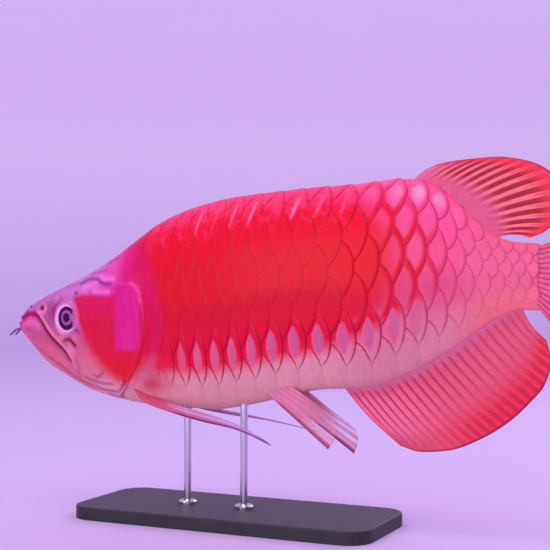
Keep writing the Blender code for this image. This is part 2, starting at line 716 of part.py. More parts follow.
def paired_fin(name, rays, rows, root, margin, lead, root_half, droop, finish):
    """A fin of the left side. root lies on the body as (x, share), and the first ray bends
    through the lead points. Both faces start on the body itself, a hair clear of it."""
    edge = smooth_path(margin)
    droop = Vector(droop)

    def base(s):
        return on_body(root[0][0] + s * (root[1][0] - root[0][0]), root[0][1] + s * (root[1][1] - root[0][1]),
                       BODY_CLEAR)

    first_ray = smooth_path([base(0)] + lead)

    def middle(s, t):
        bend = first_ray(t) - base(0).lerp(edge(0), t)
        return base(s).lerp(edge(s), t) + bend * (1 - s) ** 2 + droop * t ** 1.5

    def across(s, t):
        """The way out of the fin's face there, or along the body's skin at the root."""
        step = 0.02
        one_way = middle(min(s + step, 1), t) - middle(max(s - step, 0), t)
        other_way = middle(s, min(t + step, 1)) - middle(s, max(t - step, 0))
        out = one_way.cross(other_way).normalized()
        x = root[0][0] + s * (root[1][0] - root[0][0])
        seat = one_way.cross(body_normal(x, root[0][1] + s * (root[1][1] - root[0][1]))).normalized()
        if seat.dot(out) < 0:
            seat = -seat
        return seat.lerp(out, min(1, t / ROOT_SHARE)).normalized()

    def faces_of(s, t):
        half = across(s, t) * fin_half(s, t, rays, root_half)
        point = middle(s, reach(s, t, rays))
        faces = [point + half, point - half]
        if t == 0:
            faces = [on_body(p.x, share_at(p.x, p.z), BODY_CLEAR) for p in faces]
        return faces

    return plate(name, fin_columns(rays), band(0, 1, 1 / rows), faces_of, finish)


def build_paired_fins():
    rose = material("rose_fin_membrane", FIN_PALE, 0.4)
    level = (0, 0, 0)
    left = paired_fin("fin_pectoral_left", 7, 7, PECTORAL_ROOT, PECTORAL_MARGIN, PECTORAL_LEAD,
                      MEDIAN_ROOT_HALF, level, rose)
    mirrored(left, "fin_pectoral_right")
    tip = [PELVIC_MARGIN[0]]
    paired_fin("fin_pelvic_left", 6, 5, PELVIC_ROOT, PELVIC_MARGIN, tip, PELVIC_ROOT_HALF, level, rose)
    lower = paired_fin("lower_pelvic", 6, 5, PELVIC_ROOT, PELVIC_MARGIN, tip, PELVIC_ROOT_HALF,
                       RIGHT_PELVIC_DROOP, rose)
    mirrored(lower, "fin_pelvic_right")
    bpy.data.objects.remove(lower)


def build_barbels():
    mauve = material("mauve_head_skin", HEAD_MAUVE, 0.3)
    for side, sign in (("left", -1), ("right", 1)):
        curve = bpy.data.curves.new("barbel_" + side, "CURVE")
        curve.dimensions = "3D"
        curve.bevel_depth = BARBEL_RADIUS * MM
        curve.bevel_resolution = 1
        curve.use_fill_caps = True
        route = smooth_path([(x, sign * BARBEL_SPREAD * (1 + i * BARBEL_PARTING), z)
                             for i, (x, z) in enumerate(BARBEL)])
        spline = curve.splines.new("POLY")
        spline.points.add(BARBEL_PARTS)
        for i, point in enumerate(spline.points):
            t = i / BARBEL_PARTS
            point.co = (*(route(t) * MM), 1)
            point.radius = 1 - (1 - BARBEL_TIP_SHARE) * t
        curve.materials.append(mauve)
        collection.objects.link(bpy.data.objects.new("barbel_" + side, curve))


def build_stand(clear):
    wood = material("black_lacquered_board", BOARD_BLACK, 0.35)
    steel = material("polished_steel_rod", ROD_STEEL, 0.2, 1.0)
    thick = STAND_SIZE[2]
    bm = bmesh.new()
    bmesh.ops.create_cube(bm, size=1)
    bmesh.ops.scale(bm, vec=STAND_SIZE, verts=bm.verts)
    bmesh.ops.translate(bm, vec=(0, 0, thick / 2), verts=bm.verts)
    upright = [e for e in bm.edges if abs(e.verts[0].co.z - e.verts[1].co.z) > thick / 2]
    bmesh.ops.bevel(bm, geom=upright, offset=STAND_CORNER, segments=6, profile=0.5, affect="EDGES")
    top = [e for e in bm.edges if min(v.co.z for v in e.verts) > thick - 0.01]
    bmesh.ops.bevel(bm, geom=top, offset=STAND_EDGE, segments=2, profile=0.5, affect="EDGES")
    make_object("stand_base", bm, wood)
    foot_radius, foot_height = ROD_FOOT
    for place, x in ROD_PLACES.items():
        low, high = thick + GAP, belly(x) + ROD_SUNK
        shoulder_z, foot_z = low + foot_height - ROD_FOOT_CHAMFER, low + foot_height
        profile = [(0, low), (foot_radius, low), (foot_radius, shoulder_z),
                   (foot_radius - ROD_FOOT_CHAMFER, foot_z), (ROD_RADIUS, foot_z),
                   (ROD_RADIUS, high), (0, high)]
        bm = bmesh.new()
        verts = [bm.verts.new((r, 0, z)) for r, z in profile]
        edges = [bm.edges.new(pair) for pair in zip(verts, verts[1:])]
        bmesh.ops.spin(bm, geom=verts + edges, cent=(0, 0, 0), axis=(0, 0, 1), angle=math.tau, steps=20,
                       use_merge=True)
        bmesh.ops.remove_doubles(bm, verts=bm.verts, dist=0.001)
        bmesh.ops.translate(bm, vec=(x, 0, 0), verts=bm.verts)
        rod = make_object("stand_rod_" + place, bm, steel)
        cut(rod, "DIFFERENCE", clear)


def main():
    for old in list(bpy.data.objects):
        bpy.data.objects.remove(old)
    for home in (collection, cutters):
        bpy.context.scene.collection.children.link(home)
    clear = body_cutter()
    build_body()
    build_head()
    build_gill_covers()
    build_barbels()
    build_median_fins()
    build_paired_fins()
    build_stand(clear)


main()
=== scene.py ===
"""Looks of a super red Asian arowana, shown life size on a plain stand.

The fish swims toward -X with its left side on -Y. Sizes are in millimetres, and MM turns them
into metres where a mesh is made.
"""
import math
from functools import lru_cache

import bmesh
import bpy
import numpy as np
from mathutils import Matrix, Vector


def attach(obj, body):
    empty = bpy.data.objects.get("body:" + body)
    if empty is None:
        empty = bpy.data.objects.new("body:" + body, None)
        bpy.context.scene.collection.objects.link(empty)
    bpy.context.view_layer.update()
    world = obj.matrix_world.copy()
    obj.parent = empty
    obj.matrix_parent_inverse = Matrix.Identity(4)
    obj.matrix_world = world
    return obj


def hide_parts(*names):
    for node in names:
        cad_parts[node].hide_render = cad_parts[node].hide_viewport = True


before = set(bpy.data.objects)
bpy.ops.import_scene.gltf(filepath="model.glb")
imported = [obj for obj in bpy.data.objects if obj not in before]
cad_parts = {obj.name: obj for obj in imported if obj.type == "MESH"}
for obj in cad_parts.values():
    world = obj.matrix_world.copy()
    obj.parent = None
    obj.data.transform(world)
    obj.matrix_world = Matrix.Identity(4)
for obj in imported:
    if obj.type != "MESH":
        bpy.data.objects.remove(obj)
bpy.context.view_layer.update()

# The setting: a pale lilac cove, a camera level with the fish's flank and turned toward its head,
# and wide soft lamps. The cove is one sheet, from the floor up round into the wall.
MM = 0.001
AIM = Vector((40, 0, 230))
CAMERA_YAW = math.radians(25)
CAMERA_AWAY = 1132.0
SENSOR = 36.0
FOCAL_IN_FRAMES = 1225 / 550
COVE_RADIUS, COVE_BEND, COVE_HEIGHT = 2600.0, 900.0, 3200.0
WALL_LILAC, FLOOR_LILAC = "#EEDDFC", "#CDB6EA"
FLOOR_FADE = 700.0


def srgb(code, alpha=1.0):
    """A hex colour, as the eye reads it, turned to the linear values that shaders take."""
    parts = [int(code[i:i + 2], 16) / 255 for i in (1, 3, 5)]
    return (*[c / 12.92 if c <= 0.04045 else ((c + 0.055) / 1.055) ** 2.4 for c in parts], alpha)


def add_node(tree, kind, inputs=None, **settings):
    """Adds a shader node, sets what settings name, and fills or links its inputs."""
    node = tree.nodes.new(kind)
    for key, value in settings.items():
        setattr(node, key, value)
    for key, value in (inputs or {}).items():
        if isinstance(value, bpy.types.NodeSocket):
            tree.links.new(value, node.inputs[key])
        else:
            node.inputs[key].default_value = value
    return node


def new_finish(name, **surface):
    """An empty material with its main shader, whose sockets are set by their names."""
    finish = bpy.data.materials.new(name)
    finish.use_nodes = True
    shader = finish.node_tree.nodes["Principled BSDF"]
    for key, value in surface.items():
        shader.inputs[key.replace("_", " ")].default_value = value
    return finish, finish.node_tree, shader


def make_piece(name, bm, finish):
    """Turns a bmesh in millimetres into an object in metres, with its place in its mesh."""
    bmesh.ops.recalc_face_normals(bm, faces=bm.faces)
    bmesh.ops.scale(bm, vec=(MM, MM, MM), verts=bm.verts)
    for face in bm.faces:
        face.smooth = True
    mesh = bpy.data.meshes.new(name)
    bm.to_mesh(mesh)
    bm.free()
    mesh.materials.append(finish)
    piece = bpy.data.objects.new(name, mesh)
    bpy.context.scene.collection.objects.link(piece)
    return piece


bm = bmesh.new()
bend = [(COVE_RADIUS + COVE_BEND * math.sin(a), COVE_BEND * (1 - math.cos(a)))
        for a in np.linspace(0, math.pi / 2, 13)]
profile = [bm.verts.new((r, 0, z)) for r, z in [(0, 0)] + bend + [(bend[-1][0], COVE_HEIGHT)]]
edges = [bm.edges.new(pair) for pair in zip(profile, profile[1:])]
bmesh.ops.spin(bm, geom=profile + edges, axis=(0, 0, 1), angle=math.tau, steps=96, use_merge=True)
bmesh.ops.remove_doubles(bm, verts=bm.verts, dist=0.01)
# Finish: dull paint, a little deeper on the floor, where the lamps fall on it.
matt_paint, tree, shader = new_finish("matt_lilac_paint", Roughness=0.85)
spots_in = add_node(tree, "ShaderNodeTexCoord").outputs["Object"]
height_in = add_node(tree, "ShaderNodeSeparateXYZ", {"Vector": spots_in}).outputs[2]
up_wall = add_node(tree, "ShaderNodeMapRange", {0: height_in, 2: FLOOR_FADE * MM}).outputs[0]
painted = add_node(tree, "ShaderNodeMix", {0: up_wall, 6: srgb(FLOOR_LILAC), 7: srgb(WALL_LILAC)},
                   data_type="RGBA").outputs[2]
tree.links.new(painted, shader.inputs["Base Color"])
cove = make_piece("cove", bm, matt_paint)
if cove.data.polygons[0].normal.z < 0:
    cove.data.flip_normals()

camera_data = bpy.data.cameras.new("photo_camera")
camera_data.sensor_width = SENSOR
camera_data.lens = FOCAL_IN_FRAMES * SENSOR
camera_data.clip_start = 0.05
camera = bpy.data.objects.new("photo_camera", camera_data)
away = Vector((math.sin(CAMERA_YAW), -math.cos(CAMERA_YAW), 0)) * CAMERA_AWAY
camera.location = (AIM + away) * MM
camera.rotation_euler = (math.pi / 2, 0, CAMERA_YAW)
bpy.context.scene.collection.objects.link(camera)
bpy.context.scene.camera = camera
bpy.context.scene.view_settings.view_transform = "Standard"


def soft_lamp(name, place, width, height, power, glow):
    """A wide rectangular lamp, turned to face the fish."""
    lamp_data = bpy.data.lights.new(name, "AREA")
    lamp_data.shape = "RECTANGLE"
    lamp_data.size, lamp_data.size_y = width * MM, height * MM
    lamp_data.energy = power
    lamp_data.color = srgb(glow)[:3]
    lamp = bpy.data.objects.new(name, lamp_data)
    lamp.location = Vector(place) * MM
    lamp.visible_camera = False
    lamp.rotation_euler = (Vector(place) - AIM).to_track_quat("Z", "Y").to_euler()
    bpy.context.scene.collection.objects.link(lamp)


soft_lamp("hood_lamp", (60, -250, 1500), 1600, 700, 3.5, "#FFF4FB")
soft_lamp("front_lamp", (40, -1500, 345), 1500, 620, 9.2, "#FFF6F6")
soft_lamp("rear_lamp", (500, 1300, 900), 1200, 800, 5, "#F3E4FF")
world = bpy.data.worlds.new("soft_room")
world.use_nodes = True
world.node_tree.nodes["Background"].inputs["Color"].default_value = srgb("#F6F0F6")
world.node_tree.nodes["Background"].inputs["Strength"].default_value = 1.1
bpy.context.scene.world = world

# The body's form: a deep, flat-sided fish whose back rises to the dorsal fin and whose belly is a
# blunt keel. Every other piece is placed on it, by x and by the share of the way from back to belly.
BACK = [(-245.5, 178), (-244, 183.5), (-240, 190), (-235, 195.3), (-223, 203.5), (-211, 209.8),
        (-187, 219.5), (-163, 230), (-139, 242), (-105, 263), (-72, 283), (-39, 294.5), (4, 303),
        (65, 308), (125, 311), (165, 314.5), (180, 313.5), (198, 306), (216, 292), (234, 275),
        (250, 262.5), (267, 257.5), (285, 256.5)]
BELLY = [(-245.5, 177), (-244, 173.5), (-238, 167.5), (-229, 158.5), (-217, 146.5), (-205, 138),
         (-187, 129), (-163, 118), (-136, 110.5), (-105, 106), (-60, 103.3), (-22, 103.3), (4, 107),
         (25, 111.5), (55, 119.5), (95, 127), (110, 127.5), (134, 129.5), (162, 139), (207, 163.5),
         (251, 193.5), (270, 200.5), (285, 199.5)]
HALF_WIDTH = [(-245.5, 1.5), (-243, 6), (-238, 9.5), (-228, 13), (-212, 16.5), (-191, 20),
              (-165, 23.5), (-139, 27), (-105, 30), (-60, 32), (0, 32.5), (60, 31), (110, 28),
              (150, 23), (190, 17), (225, 12), (255, 8.5), (285, 5.5)]
WIDEST = [(-245.5, 0.6), (-190, 0.6), (-105, 0.56), (110, 0.55), (200, 0.5), (285, 0.5)]
UPPER_SQUARENESS = [(-245.5, 2.6), (-190, 3.2), (-120, 2.7), (0, 2.5), (150, 2.3), (285, 2.2)]
LOWER_SQUARENESS = [(-245.5, 2.2), (-190, 2.0), (-105, 1.8), (0, 1.65), (110, 1.7), (285, 2.2)]
SNOUT_X, TAIL_BASE_X = -245.5, 285.0
SHOULDER = [(0, -113), (0.2, -98), (0.36, -82), (0.55, -76), (0.72, -83), (0.82, -99), (0.9, -111), (1, -121)]


def smooth_line(points):
    """The smooth curve y(x) through points that run toward +x, without overshoot."""
    x, y = np.array(points, float).T
    slope = np.diff(y) / np.diff(x)
    tangent = np.empty_like(y)
    tangent[0], tangent[-1] = slope[0], slope[-1]
    product = slope[:-1] * slope[1:]
    total = slope[:-1] + slope[1:]
    tangent[1:-1] = np.where(product > 0, 2 * product / np.where(total == 0, 1, total), 0)

    def at(where):
        i = np.clip(np.searchsorted(x, where) - 1, 0, len(x) - 2)
        width = x[i + 1] - x[i]
        t = np.clip((where - x[i]) / width, 0, 1)
        start = (1 + 2 * t) * (1 - t) ** 2 * y[i] + t * (1 - t) ** 2 * width * tangent[i]
        end = t * t * (3 - 2 * t) * y[i + 1] + t * t * (t - 1) * width * tangent[i + 1]
        return start + end

    return at


def smooth_path(points):
    """The smooth curve through points in any direction, from 0 at the first to 1 at the last."""
    points = np.array(points, float)
    far = np.concatenate([[0], np.cumsum(np.linalg.norm(np.diff(points, axis=0), axis=1))])
    lines = [smooth_line(list(zip(far / far[-1], axis))) for axis in points.T]
    return lambda t: np.stack([line(t) for line in lines], axis=-1)


def ramp(value, low, high):
    """0 up to low, 1 from high, and a smooth rise between."""
    t = np.clip((value - low) / (high - low), 0.0, 1.0)
    return t * t * (3 - 2 * t)


def mix(one, other, amount):
    """Between two numbers, by an amount from 0 to 1."""
    return one + (other - one) * amount


def blend(one, other, amount):
    """Between two colours, or fields of colours, by an amount from 0 to 1."""
    one, other = np.asarray(one, float), np.asarray(other, float)
    return one + (other - one) * np.asarray(amount)[..., None]


back, belly, half_width = smooth_line(BACK), smooth_line(BELLY), smooth_line(HALF_WIDTH)
widest, upper, lower = smooth_line(WIDEST), smooth_line(UPPER_SQUARENESS), smooth_line(LOWER_SQUARENESS)
shoulder = smooth_line(SHOULDER)


@lru_cache(maxsize=None)
def ring(x):
    """Left half of the section at x, from back to belly: y, z, share of the way round, normals."""
    angle = np.linspace(math.pi / 2, -math.pi / 2, 241)
    top, low = back(x), belly(x)
    level = low + widest(x) * (top - low)
    power = 2 / np.where(angle > 0, upper(x), lower(x))
    y = -half_width(x) * np.abs(np.cos(angle)) ** power
    z = level + np.where(angle > 0, top - level, low - level) * np.abs(np.sin(angle)) ** power
    y[0] = y[-1] = 0
    along = np.concatenate([[0], np.cumsum(np.hypot(np.diff(y), np.diff(z)))])
    dy, dz = np.gradient(y, along), np.gradient(z, along)
    out = np.stack([dz, -dy]) / np.hypot(dy, dz)
    out[:, 0], out[:, -1] = (0, 1), (0, -1)
    return y, z, along / along[-1], out


def on_body(x, share, lift=0.0):
    """The place on the left flank at x, at a share of the way from back to belly, lifted off it."""
    y, z, along, out = ring(round(float(x), 2))
    n = np.array([np.interp(share, along, out[0]), np.interp(share, along, out[1])])
    n /= np.linalg.norm(n)
    return np.array([x, np.interp(share, along, y) + lift * n[0], np.interp(share, along, z) + lift * n[1]])


def share_at(x, z):
    """How far round from back to belly the left flank is at height z."""
    _, heights, along, _ = ring(round(float(x), 2))
    return float(np.interp(-z, -heights, along))


# The skin: one unbroken sheet from snout to tail base, thin and bare on the head, where the bones
# show through it, and under the scales on the body. It stands in for all the nodes of flesh.
SKIN_COLUMNS, SKIN_ROWS = 340, 140
COLUMN_SPREAD = [(0, -245.5), (0.015, -245.1), (0.05, -242.3), (0.1, -235.5), (0.76, -74), (0.83, -40),
                 (0.9965, 284.3), (1, 285)]
UNDER_SCALES = 0.3
EYE, EYE_RADIUS, EYE_DEPTH, EYE_PROUD = (-175.0, 187.0), 14.8, 9.0, 4.0
SOCKET_WIDTH, SOCKET_AHEAD = 0.88, 1.5
MOUTH = [(-262, 182), (-245, 183.5), (-235, 186.5), (-224, 190.8), (-215, 190), (-208.5, 184.5), (-201, 175.5),
         (-194.5, 168.5), (-187, 162.5), (-179, 155.5), (-173.5, 147.5), (-171, 141.5)]
MAXILLA_TOP = [(-217, 197.5), (-211, 194), (-204, 185), (-196, 177.5), (-188, 171.5), (-177, 167.3), (-168, 162),
               (-165.5, 154)]
NOSTRILS = [((-208, 196.5), 2.4), ((-225.5, 197.5), 1.5)]
HEAD_PORES = [(-164.5, 212.3), (-162.5, 175.6), (-159.5, 173), (-185, 208.5), (-196, 204),
              (-232, 176), (-222, 166), (-211, 155.5), (-200, 147.5)]
JAW_EDGE = [(-228, 166), (-219, 158), (-208, 150.5), (-196, 143.5), (-187, 138.5), (-178, 132), (-168, 126.5),
            (-156, 122.3), (-143, 119.5)]
JAW_CREASE = [(-224, 178), (-214, 170), (-203, 161), (-192, 152), (-183, 145)]
THROAT_FOLDS = [[(-150, 134), (-144, 130.3), (-138.5, 132.5), (-133, 139)],
                [(-163, 131), (-150, 126.5), (-136, 124), (-122, 124)],
                [(-150, 120.5), (-138, 117.5), (-126, 117), (-115, 119)],
                [(-138, 114), (-126, 111.5), (-112, 111.5)]]
NAPE_FOLDS = [[(-166, 219.5), (-156.8, 223.4), (-148.1, 226.4), (-139.7, 225.9), (-132.4, 222.1), (-126, 221.2),
               (-116, 222.5)],
              [(-152, 229.8), (-146.2, 231.2), (-136.9, 233.1), (-127, 235.6)],
              [(-144, 237), (-138, 239.6), (-127.5, 242.7), (-113, 248.6)]]
NAPE_RIDGES = [[(-159, 215.3), (-147.4, 219.6), (-137, 223.4)], [(-138, 228.4), (-126.7, 225.4), (-115, 227)],
               [(-145, 214.2), (-132.6, 213.5), (-120, 213.4)]]
HOOK = [(-178.5, 166.3), (-174, 166.8), (-169.5, 164.5), (-166.3, 160.8)]
CROWN_LINE = [(-229, 193), (-226.9, 194.4), (-210.1, 204.5), (-194.6, 210.6), (-180.4, 217.5), (-163, 222)]
COVER_SHINE = [(-101, 223.5), (-90.9, 219), (-86.8, 212.5), (-84.8, 201)]
CHEEK_SEAMS = [[(-161, 199), (-146, 205), (-124, 207)], [(-160, 181), (-145, 177), (-125, 176)],
               [(-162, 166), (-148, 156), (-134, 146)]]
COVER_FRONT = [(113, -131), (130, -128), (160, -121), (206, -119), (222, -112)]
COVER_REAR = [(113, -121), (121, -112), (130, -106), (141, -96), (159, -87), (180, -80.5), (210, -84), (222, -94)]
COVER_RISE = 1.9
GILL_STRIP = [(-128, 111), (-118, 116.5), (-109.4, 122.5), (-100, 129), (-91.8, 134.9)]
GILL_NOTCH = [(-121, 116.5), (-114.5, 122), (-110.5, 128), (-112, 132)]


def near(line, x, z):
    """How far each place is from a smooth line of the side view, how far along it, and which side.

    The side is 1 above a line that runs toward the tail, and -1 below it.
    """
    points = smooth_path(line)(np.linspace(0, 1, 8 * len(line) + 1))
    away, along, side = np.full(x.shape, 1e9), np.zeros(x.shape), np.zeros(x.shape)
    for i, (a, b) in enumerate(zip(points, points[1:])):
        dx, dz = b - a
        t = np.clip(((x - a[0]) * dx + (z - a[1]) * dz) / (dx * dx + dz * dz), 0, 1)
        off_x, off_z = x - a[0] - t * dx, z - a[1] - t * dz
        far = np.hypot(off_x, off_z)
        closer = far < away
        away = np.where(closer, far, away)
        along = np.where(closer, (i + t) / (len(points) - 1), along)
        side = np.where(closer, np.sign(dx * off_z - dz * off_x), side)
    return away, along, side


def bell(away, width):
    """1 on a line, falling to nothing about two widths off it."""
    return np.exp(-(away / width) ** 2)


def crease(line, x, z, width):
    """A bell along a line that fades out at both its ends."""
    away, along, _ = near(line, x, z)
    return bell(away, width) * ramp(along, 0, 0.12) * (1 - ramp(along, 0.85, 1))


def gill_cover(x, z):
    """The cover's flap: its height over the cheek, and how far in from its rear edge each place is."""
    front, rear = smooth_line(COVER_FRONT)(z), smooth_line(COVER_REAR)(z)
    t = (x - front) / (rear - front)
    inside = ramp(z, 110.5, 114) * (1 - ramp(z, 219, 224))
    plate = (0.25 + 0.75 * np.clip(t, 0, 1)) * ramp(t, -0.1, 0.22)
    flap = 1 - ramp(x - rear, -0.3, 0.7)
    return COVER_RISE * plate * flap * inside, x - rear, inside


def head_relief(x, z, share):
    """How far the skin stands off the plain body: lips, jaw bones, orbit, nostrils, cheek, gill cover."""
    away, along, side = near(MOUTH, x, z)
    fade = 1 - ramp(along, 0.93, 1)
    relief = np.where(side > 0, 0.9 * bell(away - 2.2, 1.5), 1.25 * bell(away - 2.7, 2.0)) * fade
    off_top, top_along, top_side = near(MAXILLA_TOP, x, z)
    in_jaw = ((side > 0) & (top_side < 0) & (x > -217) & (x < -164)).astype(float)
    relief += in_jaw * (1.3 * ramp(off_top, 0, 1.6) * ramp(away, 0.2, 2.0))
    relief -= 1.2 * bell(off_top, 1.0) * ramp(top_along, 0.05, 0.3) * (side > 0)
    relief -= 1.3 * bell(away, 1.5) * fade
    relief -= 0.6 * crease(JAW_EDGE, x, z, 1.5) + 0.5 * crease(JAW_CREASE, x, z, 1.8)
    from_eye = np.hypot((x - EYE[0] + SOCKET_AHEAD) / SOCKET_WIDTH, z - EYE[1])
    relief += 1.2 * bell(from_eye - EYE_RADIUS - 0.9, 2.0) - 0.6 * bell(from_eye - EYE_RADIUS - 5.5, 1.6)
    relief -= 7.0 * (1 - ramp(from_eye, EYE_RADIUS - 2.2, EYE_RADIUS - 0.4))
    for spot, radius in NOSTRILS:
        far = np.hypot(x - spot[0], z - spot[1]) / radius
        relief += 0.7 * bell(far - 1.5, 0.45) - 2.0 * (1 - ramp(far, 0.5, 1.1))
    for spot in HEAD_PORES:
        relief -= 0.8 * bell(np.hypot(x - spot[0], z - spot[1]), 0.9)
    for fold in THROAT_FOLDS:
        relief -= 0.5 * crease(fold, x, z, 1.4)
    for fold in NAPE_FOLDS:
        relief -= 0.8 * crease(fold, x, z, 1.6)
    for ridge in NAPE_RIDGES:
        relief += 0.6 * crease(ridge, x, z, 2.4)
    for seam in CHEEK_SEAMS:
        relief -= 0.5 * crease(seam, x, z, 1.1)
    height, past_rear, inside = gill_cover(x, z)
    relief = relief * (1 - ramp(past_rear, -1, 1)) + height
    relief -= 0.45 * bell(past_rear + 7.5, 1.1) * inside
    relief -= 0.5 * bell(past_rear - 1.8, 1.6) * inside
    relief += 0.9 * crease(GILL_STRIP, x, z, 1.7) - 1.1 * crease(GILL_NOTCH, x, z, 1.2)
    return relief


def covered(x, share):
    """1 where the head's bare skin ends and the scales begin."""
    return ramp(x - shoulder(share), -2, 3)


def mapped_grid(bm, place, values=None):
    """Adds a grid to a bmesh, puts its vertex (i, j) at place[i, j] and gives it those values.

    values holds an array for each colour or number that the vertices keep by name. The grid's own
    unwrap is kept in the map that the finish is baked through.
    """
    columns, rows = place.shape[0] - 1, place.shape[1] - 1
    bm.loops.layers.uv.get("OFBake") or bm.loops.layers.uv.new("OFBake")
    kept = []
    for name, array in (values or {}).items():
        kind = bm.verts.layers.float_color if array.ndim == 3 else bm.verts.layers.float
        kept.append((kind.get(name) or kind.new(name), array))
    made = bmesh.ops.create_grid(bm, x_segments=columns, y_segments=rows, size=1, calc_uvs=True)["verts"]
    spots = [(round((v.co.x + 1) / 2 * columns), round((v.co.y + 1) / 2 * rows)) for v in made]
    for layer, array in kept:
        for v, spot in zip(made, spots):
            v[layer] = array[spot] if array.ndim == 2 else (*array[spot], 1)[:4]
    for v, spot in zip(made, spots):
        v.co = place[spot]
    return made


# Colours are named by how they look on the lit fish. HAZE is what its wet gloss adds to them, and GAIN
# how strongly the lamps light it, so that tint can take both away again.
HAZE, GAIN = np.array((0.018, 0.015, 0.024)), np.array((1.03, 1.08, 1.08))
# How much paler the underside is made: partly its own colour, partly painted fill light.
UNDERSIDE_FILL_LIGHT = np.array((1.32, 2.3, 1.22))


def tint(code):
    """The skin's own colour, in linear parts, that looks like a hex colour under these lamps."""
    return np.clip((np.array(srgb(code)[:3]) - HAZE) / GAIN, 0, 1)


def paler_below(tone, share):
    """The same tone, paler toward the belly: partly the fish's own paler belly, partly painted light that makes up for
    how little lamp light reaches the underside.
    """
    return np.minimum(tone * blend((1, 1, 1), UNDERSIDE_FILL_LIGHT, ramp(share, 0.5, 0.92)), 0.97)


CREST_PLUM, CREST_PINK, CREST_FRONT, CREST_RED = tint("#B02C70"), tint("#F63A7E"), tint("#E93A80"), tint("#F92B55")
FLANK_TOP, FLANK_RED, FLANK_LOW, SHOULDER_PINK = tint("#F6163E"), tint("#EA1836"), tint("#DC2044"), tint("#DC2464")
REAR_TOP, REAR_MID, REAR_LOW, LOW_MAUVE = tint("#FF5A9A"), tint("#F45A8C"), tint("#DC5080"), tint("#D06290")
TAIL_PINK, TAIL_LOW, DORSAL_HIGHLIGHT_PINK = tint("#F26C90"), tint("#DE5A7E"), tint("#FFA4CE")
BELLY_FRONT, BELLY_REAR, PECTORAL_ROSE = tint("#D478A2"), tint("#C96894"), tint("#C63C66")
# The rim lines: partly the rims' own colour, partly painted shade of the crevice under each scale's edge.
FLANK_LINE, REAR_LINE, TAIL_LINE = tint("#C00E34"), tint("#D83A72"), tint("#D85A88")
BELLY_LINE, DRIP_LINE, OVAL_LINE = tint("#B45C88"), tint("#AC1E4C"), tint("#B84276")
PINK_ONSET = [(0, 95), (0.12, 140), (0.2, 150), (0.3, 163), (0.5, 168), (0.6, 160), (0.7, 116), (0.8, 60), (1, 40)]
pink_onset = smooth_line(PINK_ONSET)


def body_tones(x, share):
    """The colour of a scale's middle, of the frame round it and of its rim, anywhere on the body."""
    onset = pink_onset(share)
    crest = blend(CREST_PINK, CREST_FRONT, 1 - ramp(x, -80, -10))
    crest = blend(crest, CREST_RED, ramp(share, 0.07, 0.15))
    crest = blend(crest, CREST_PLUM, 0.8 * (1 - ramp(share, 0.004, 0.02)))
    flank_tone = blend(FLANK_TOP, FLANK_RED, ramp(share, 0.2, 0.36))
    flank_tone = blend(flank_tone, FLANK_LOW, ramp(share, 0.4, 0.66))
    flank_tone = blend(flank_tone, crest, 1 - ramp(share, 0.13, 0.2))
    flank_tone = blend(flank_tone, SHOULDER_PINK, 1 - ramp(x, -92, -70))
    rear_tone = blend(REAR_TOP, REAR_MID, ramp(share, 0.14, 0.34))
    rear_tone = blend(rear_tone, REAR_LOW, ramp(share, 0.42, 0.6))
    rear_tone = blend(rear_tone, LOW_MAUVE, ramp(share, 0.62, 0.76))
    tail_tone = blend(TAIL_PINK, TAIL_LOW, ramp(share, 0.4, 0.9))
    belly_tone = blend(BELLY_FRONT, BELLY_REAR, ramp(x, 90, 150))
    low, tail = ramp(share, 0.76, 0.84), ramp(x, 200, 245)
    core = blend(flank_tone, rear_tone, ramp(x - onset, -24, 18))
    frame_tone = blend(flank_tone, rear_tone, ramp(x - onset, 14, 52))
    # a painted highlight: a pale pink sheen on the scales below the front of the dorsal fin
    painted_shine = np.exp(-((x - 186) / 26) ** 2 - ((share - 0.09) / 0.06) ** 2)
    core = blend(core, DORSAL_HIGHLIGHT_PINK, 0.9 * painted_shine)
    rose = np.exp(-((x + 84) / 24) ** 2 - ((share - 0.85) / 0.055) ** 2)
    core, frame_tone = blend(core, belly_tone, low), blend(frame_tone, belly_tone, low)
    core, frame_tone = blend(core, PECTORAL_ROSE, rose), blend(frame_tone, PECTORAL_ROSE, rose)
    core, frame_tone = blend(core, tail_tone, tail), blend(frame_tone, tail_tone, tail)
    by_ovals = ramp(share, 0.62, 0.7) * (1 - ramp(share, 0.83, 0.9)) * ramp(x, -70, -45)
    line = blend(FLANK_LINE, REAR_LINE, ramp(x - onset, -30, 10))
    line = blend(line, blend(DRIP_LINE, OVAL_LINE, ramp(x, 130, 190)), by_ovals)
    line = blend(blend(line, BELLY_LINE, ramp(share, 0.83, 0.9)), TAIL_LINE, tail)
    return [paler_below(tone, share) for tone in (core, frame_tone, line)]


def line_strength(x, share):
    """How clearly the rims show: faint on the front of the flank and on the belly, clear behind."""
    behind = ramp(x - pink_onset(share), -75, -5)
    by_ovals = ramp(share, 0.6, 0.68) * (1 - ramp(share, 0.82, 0.9)) * ramp(x, -75, -45)
    strength = 0.16 + 0.84 * np.maximum(0.75 * behind, by_ovals)
    return strength * (1 - 0.85 * ramp(share, 0.82, 0.9)) * (1 - 0.6 * ramp(x, 190, 240))


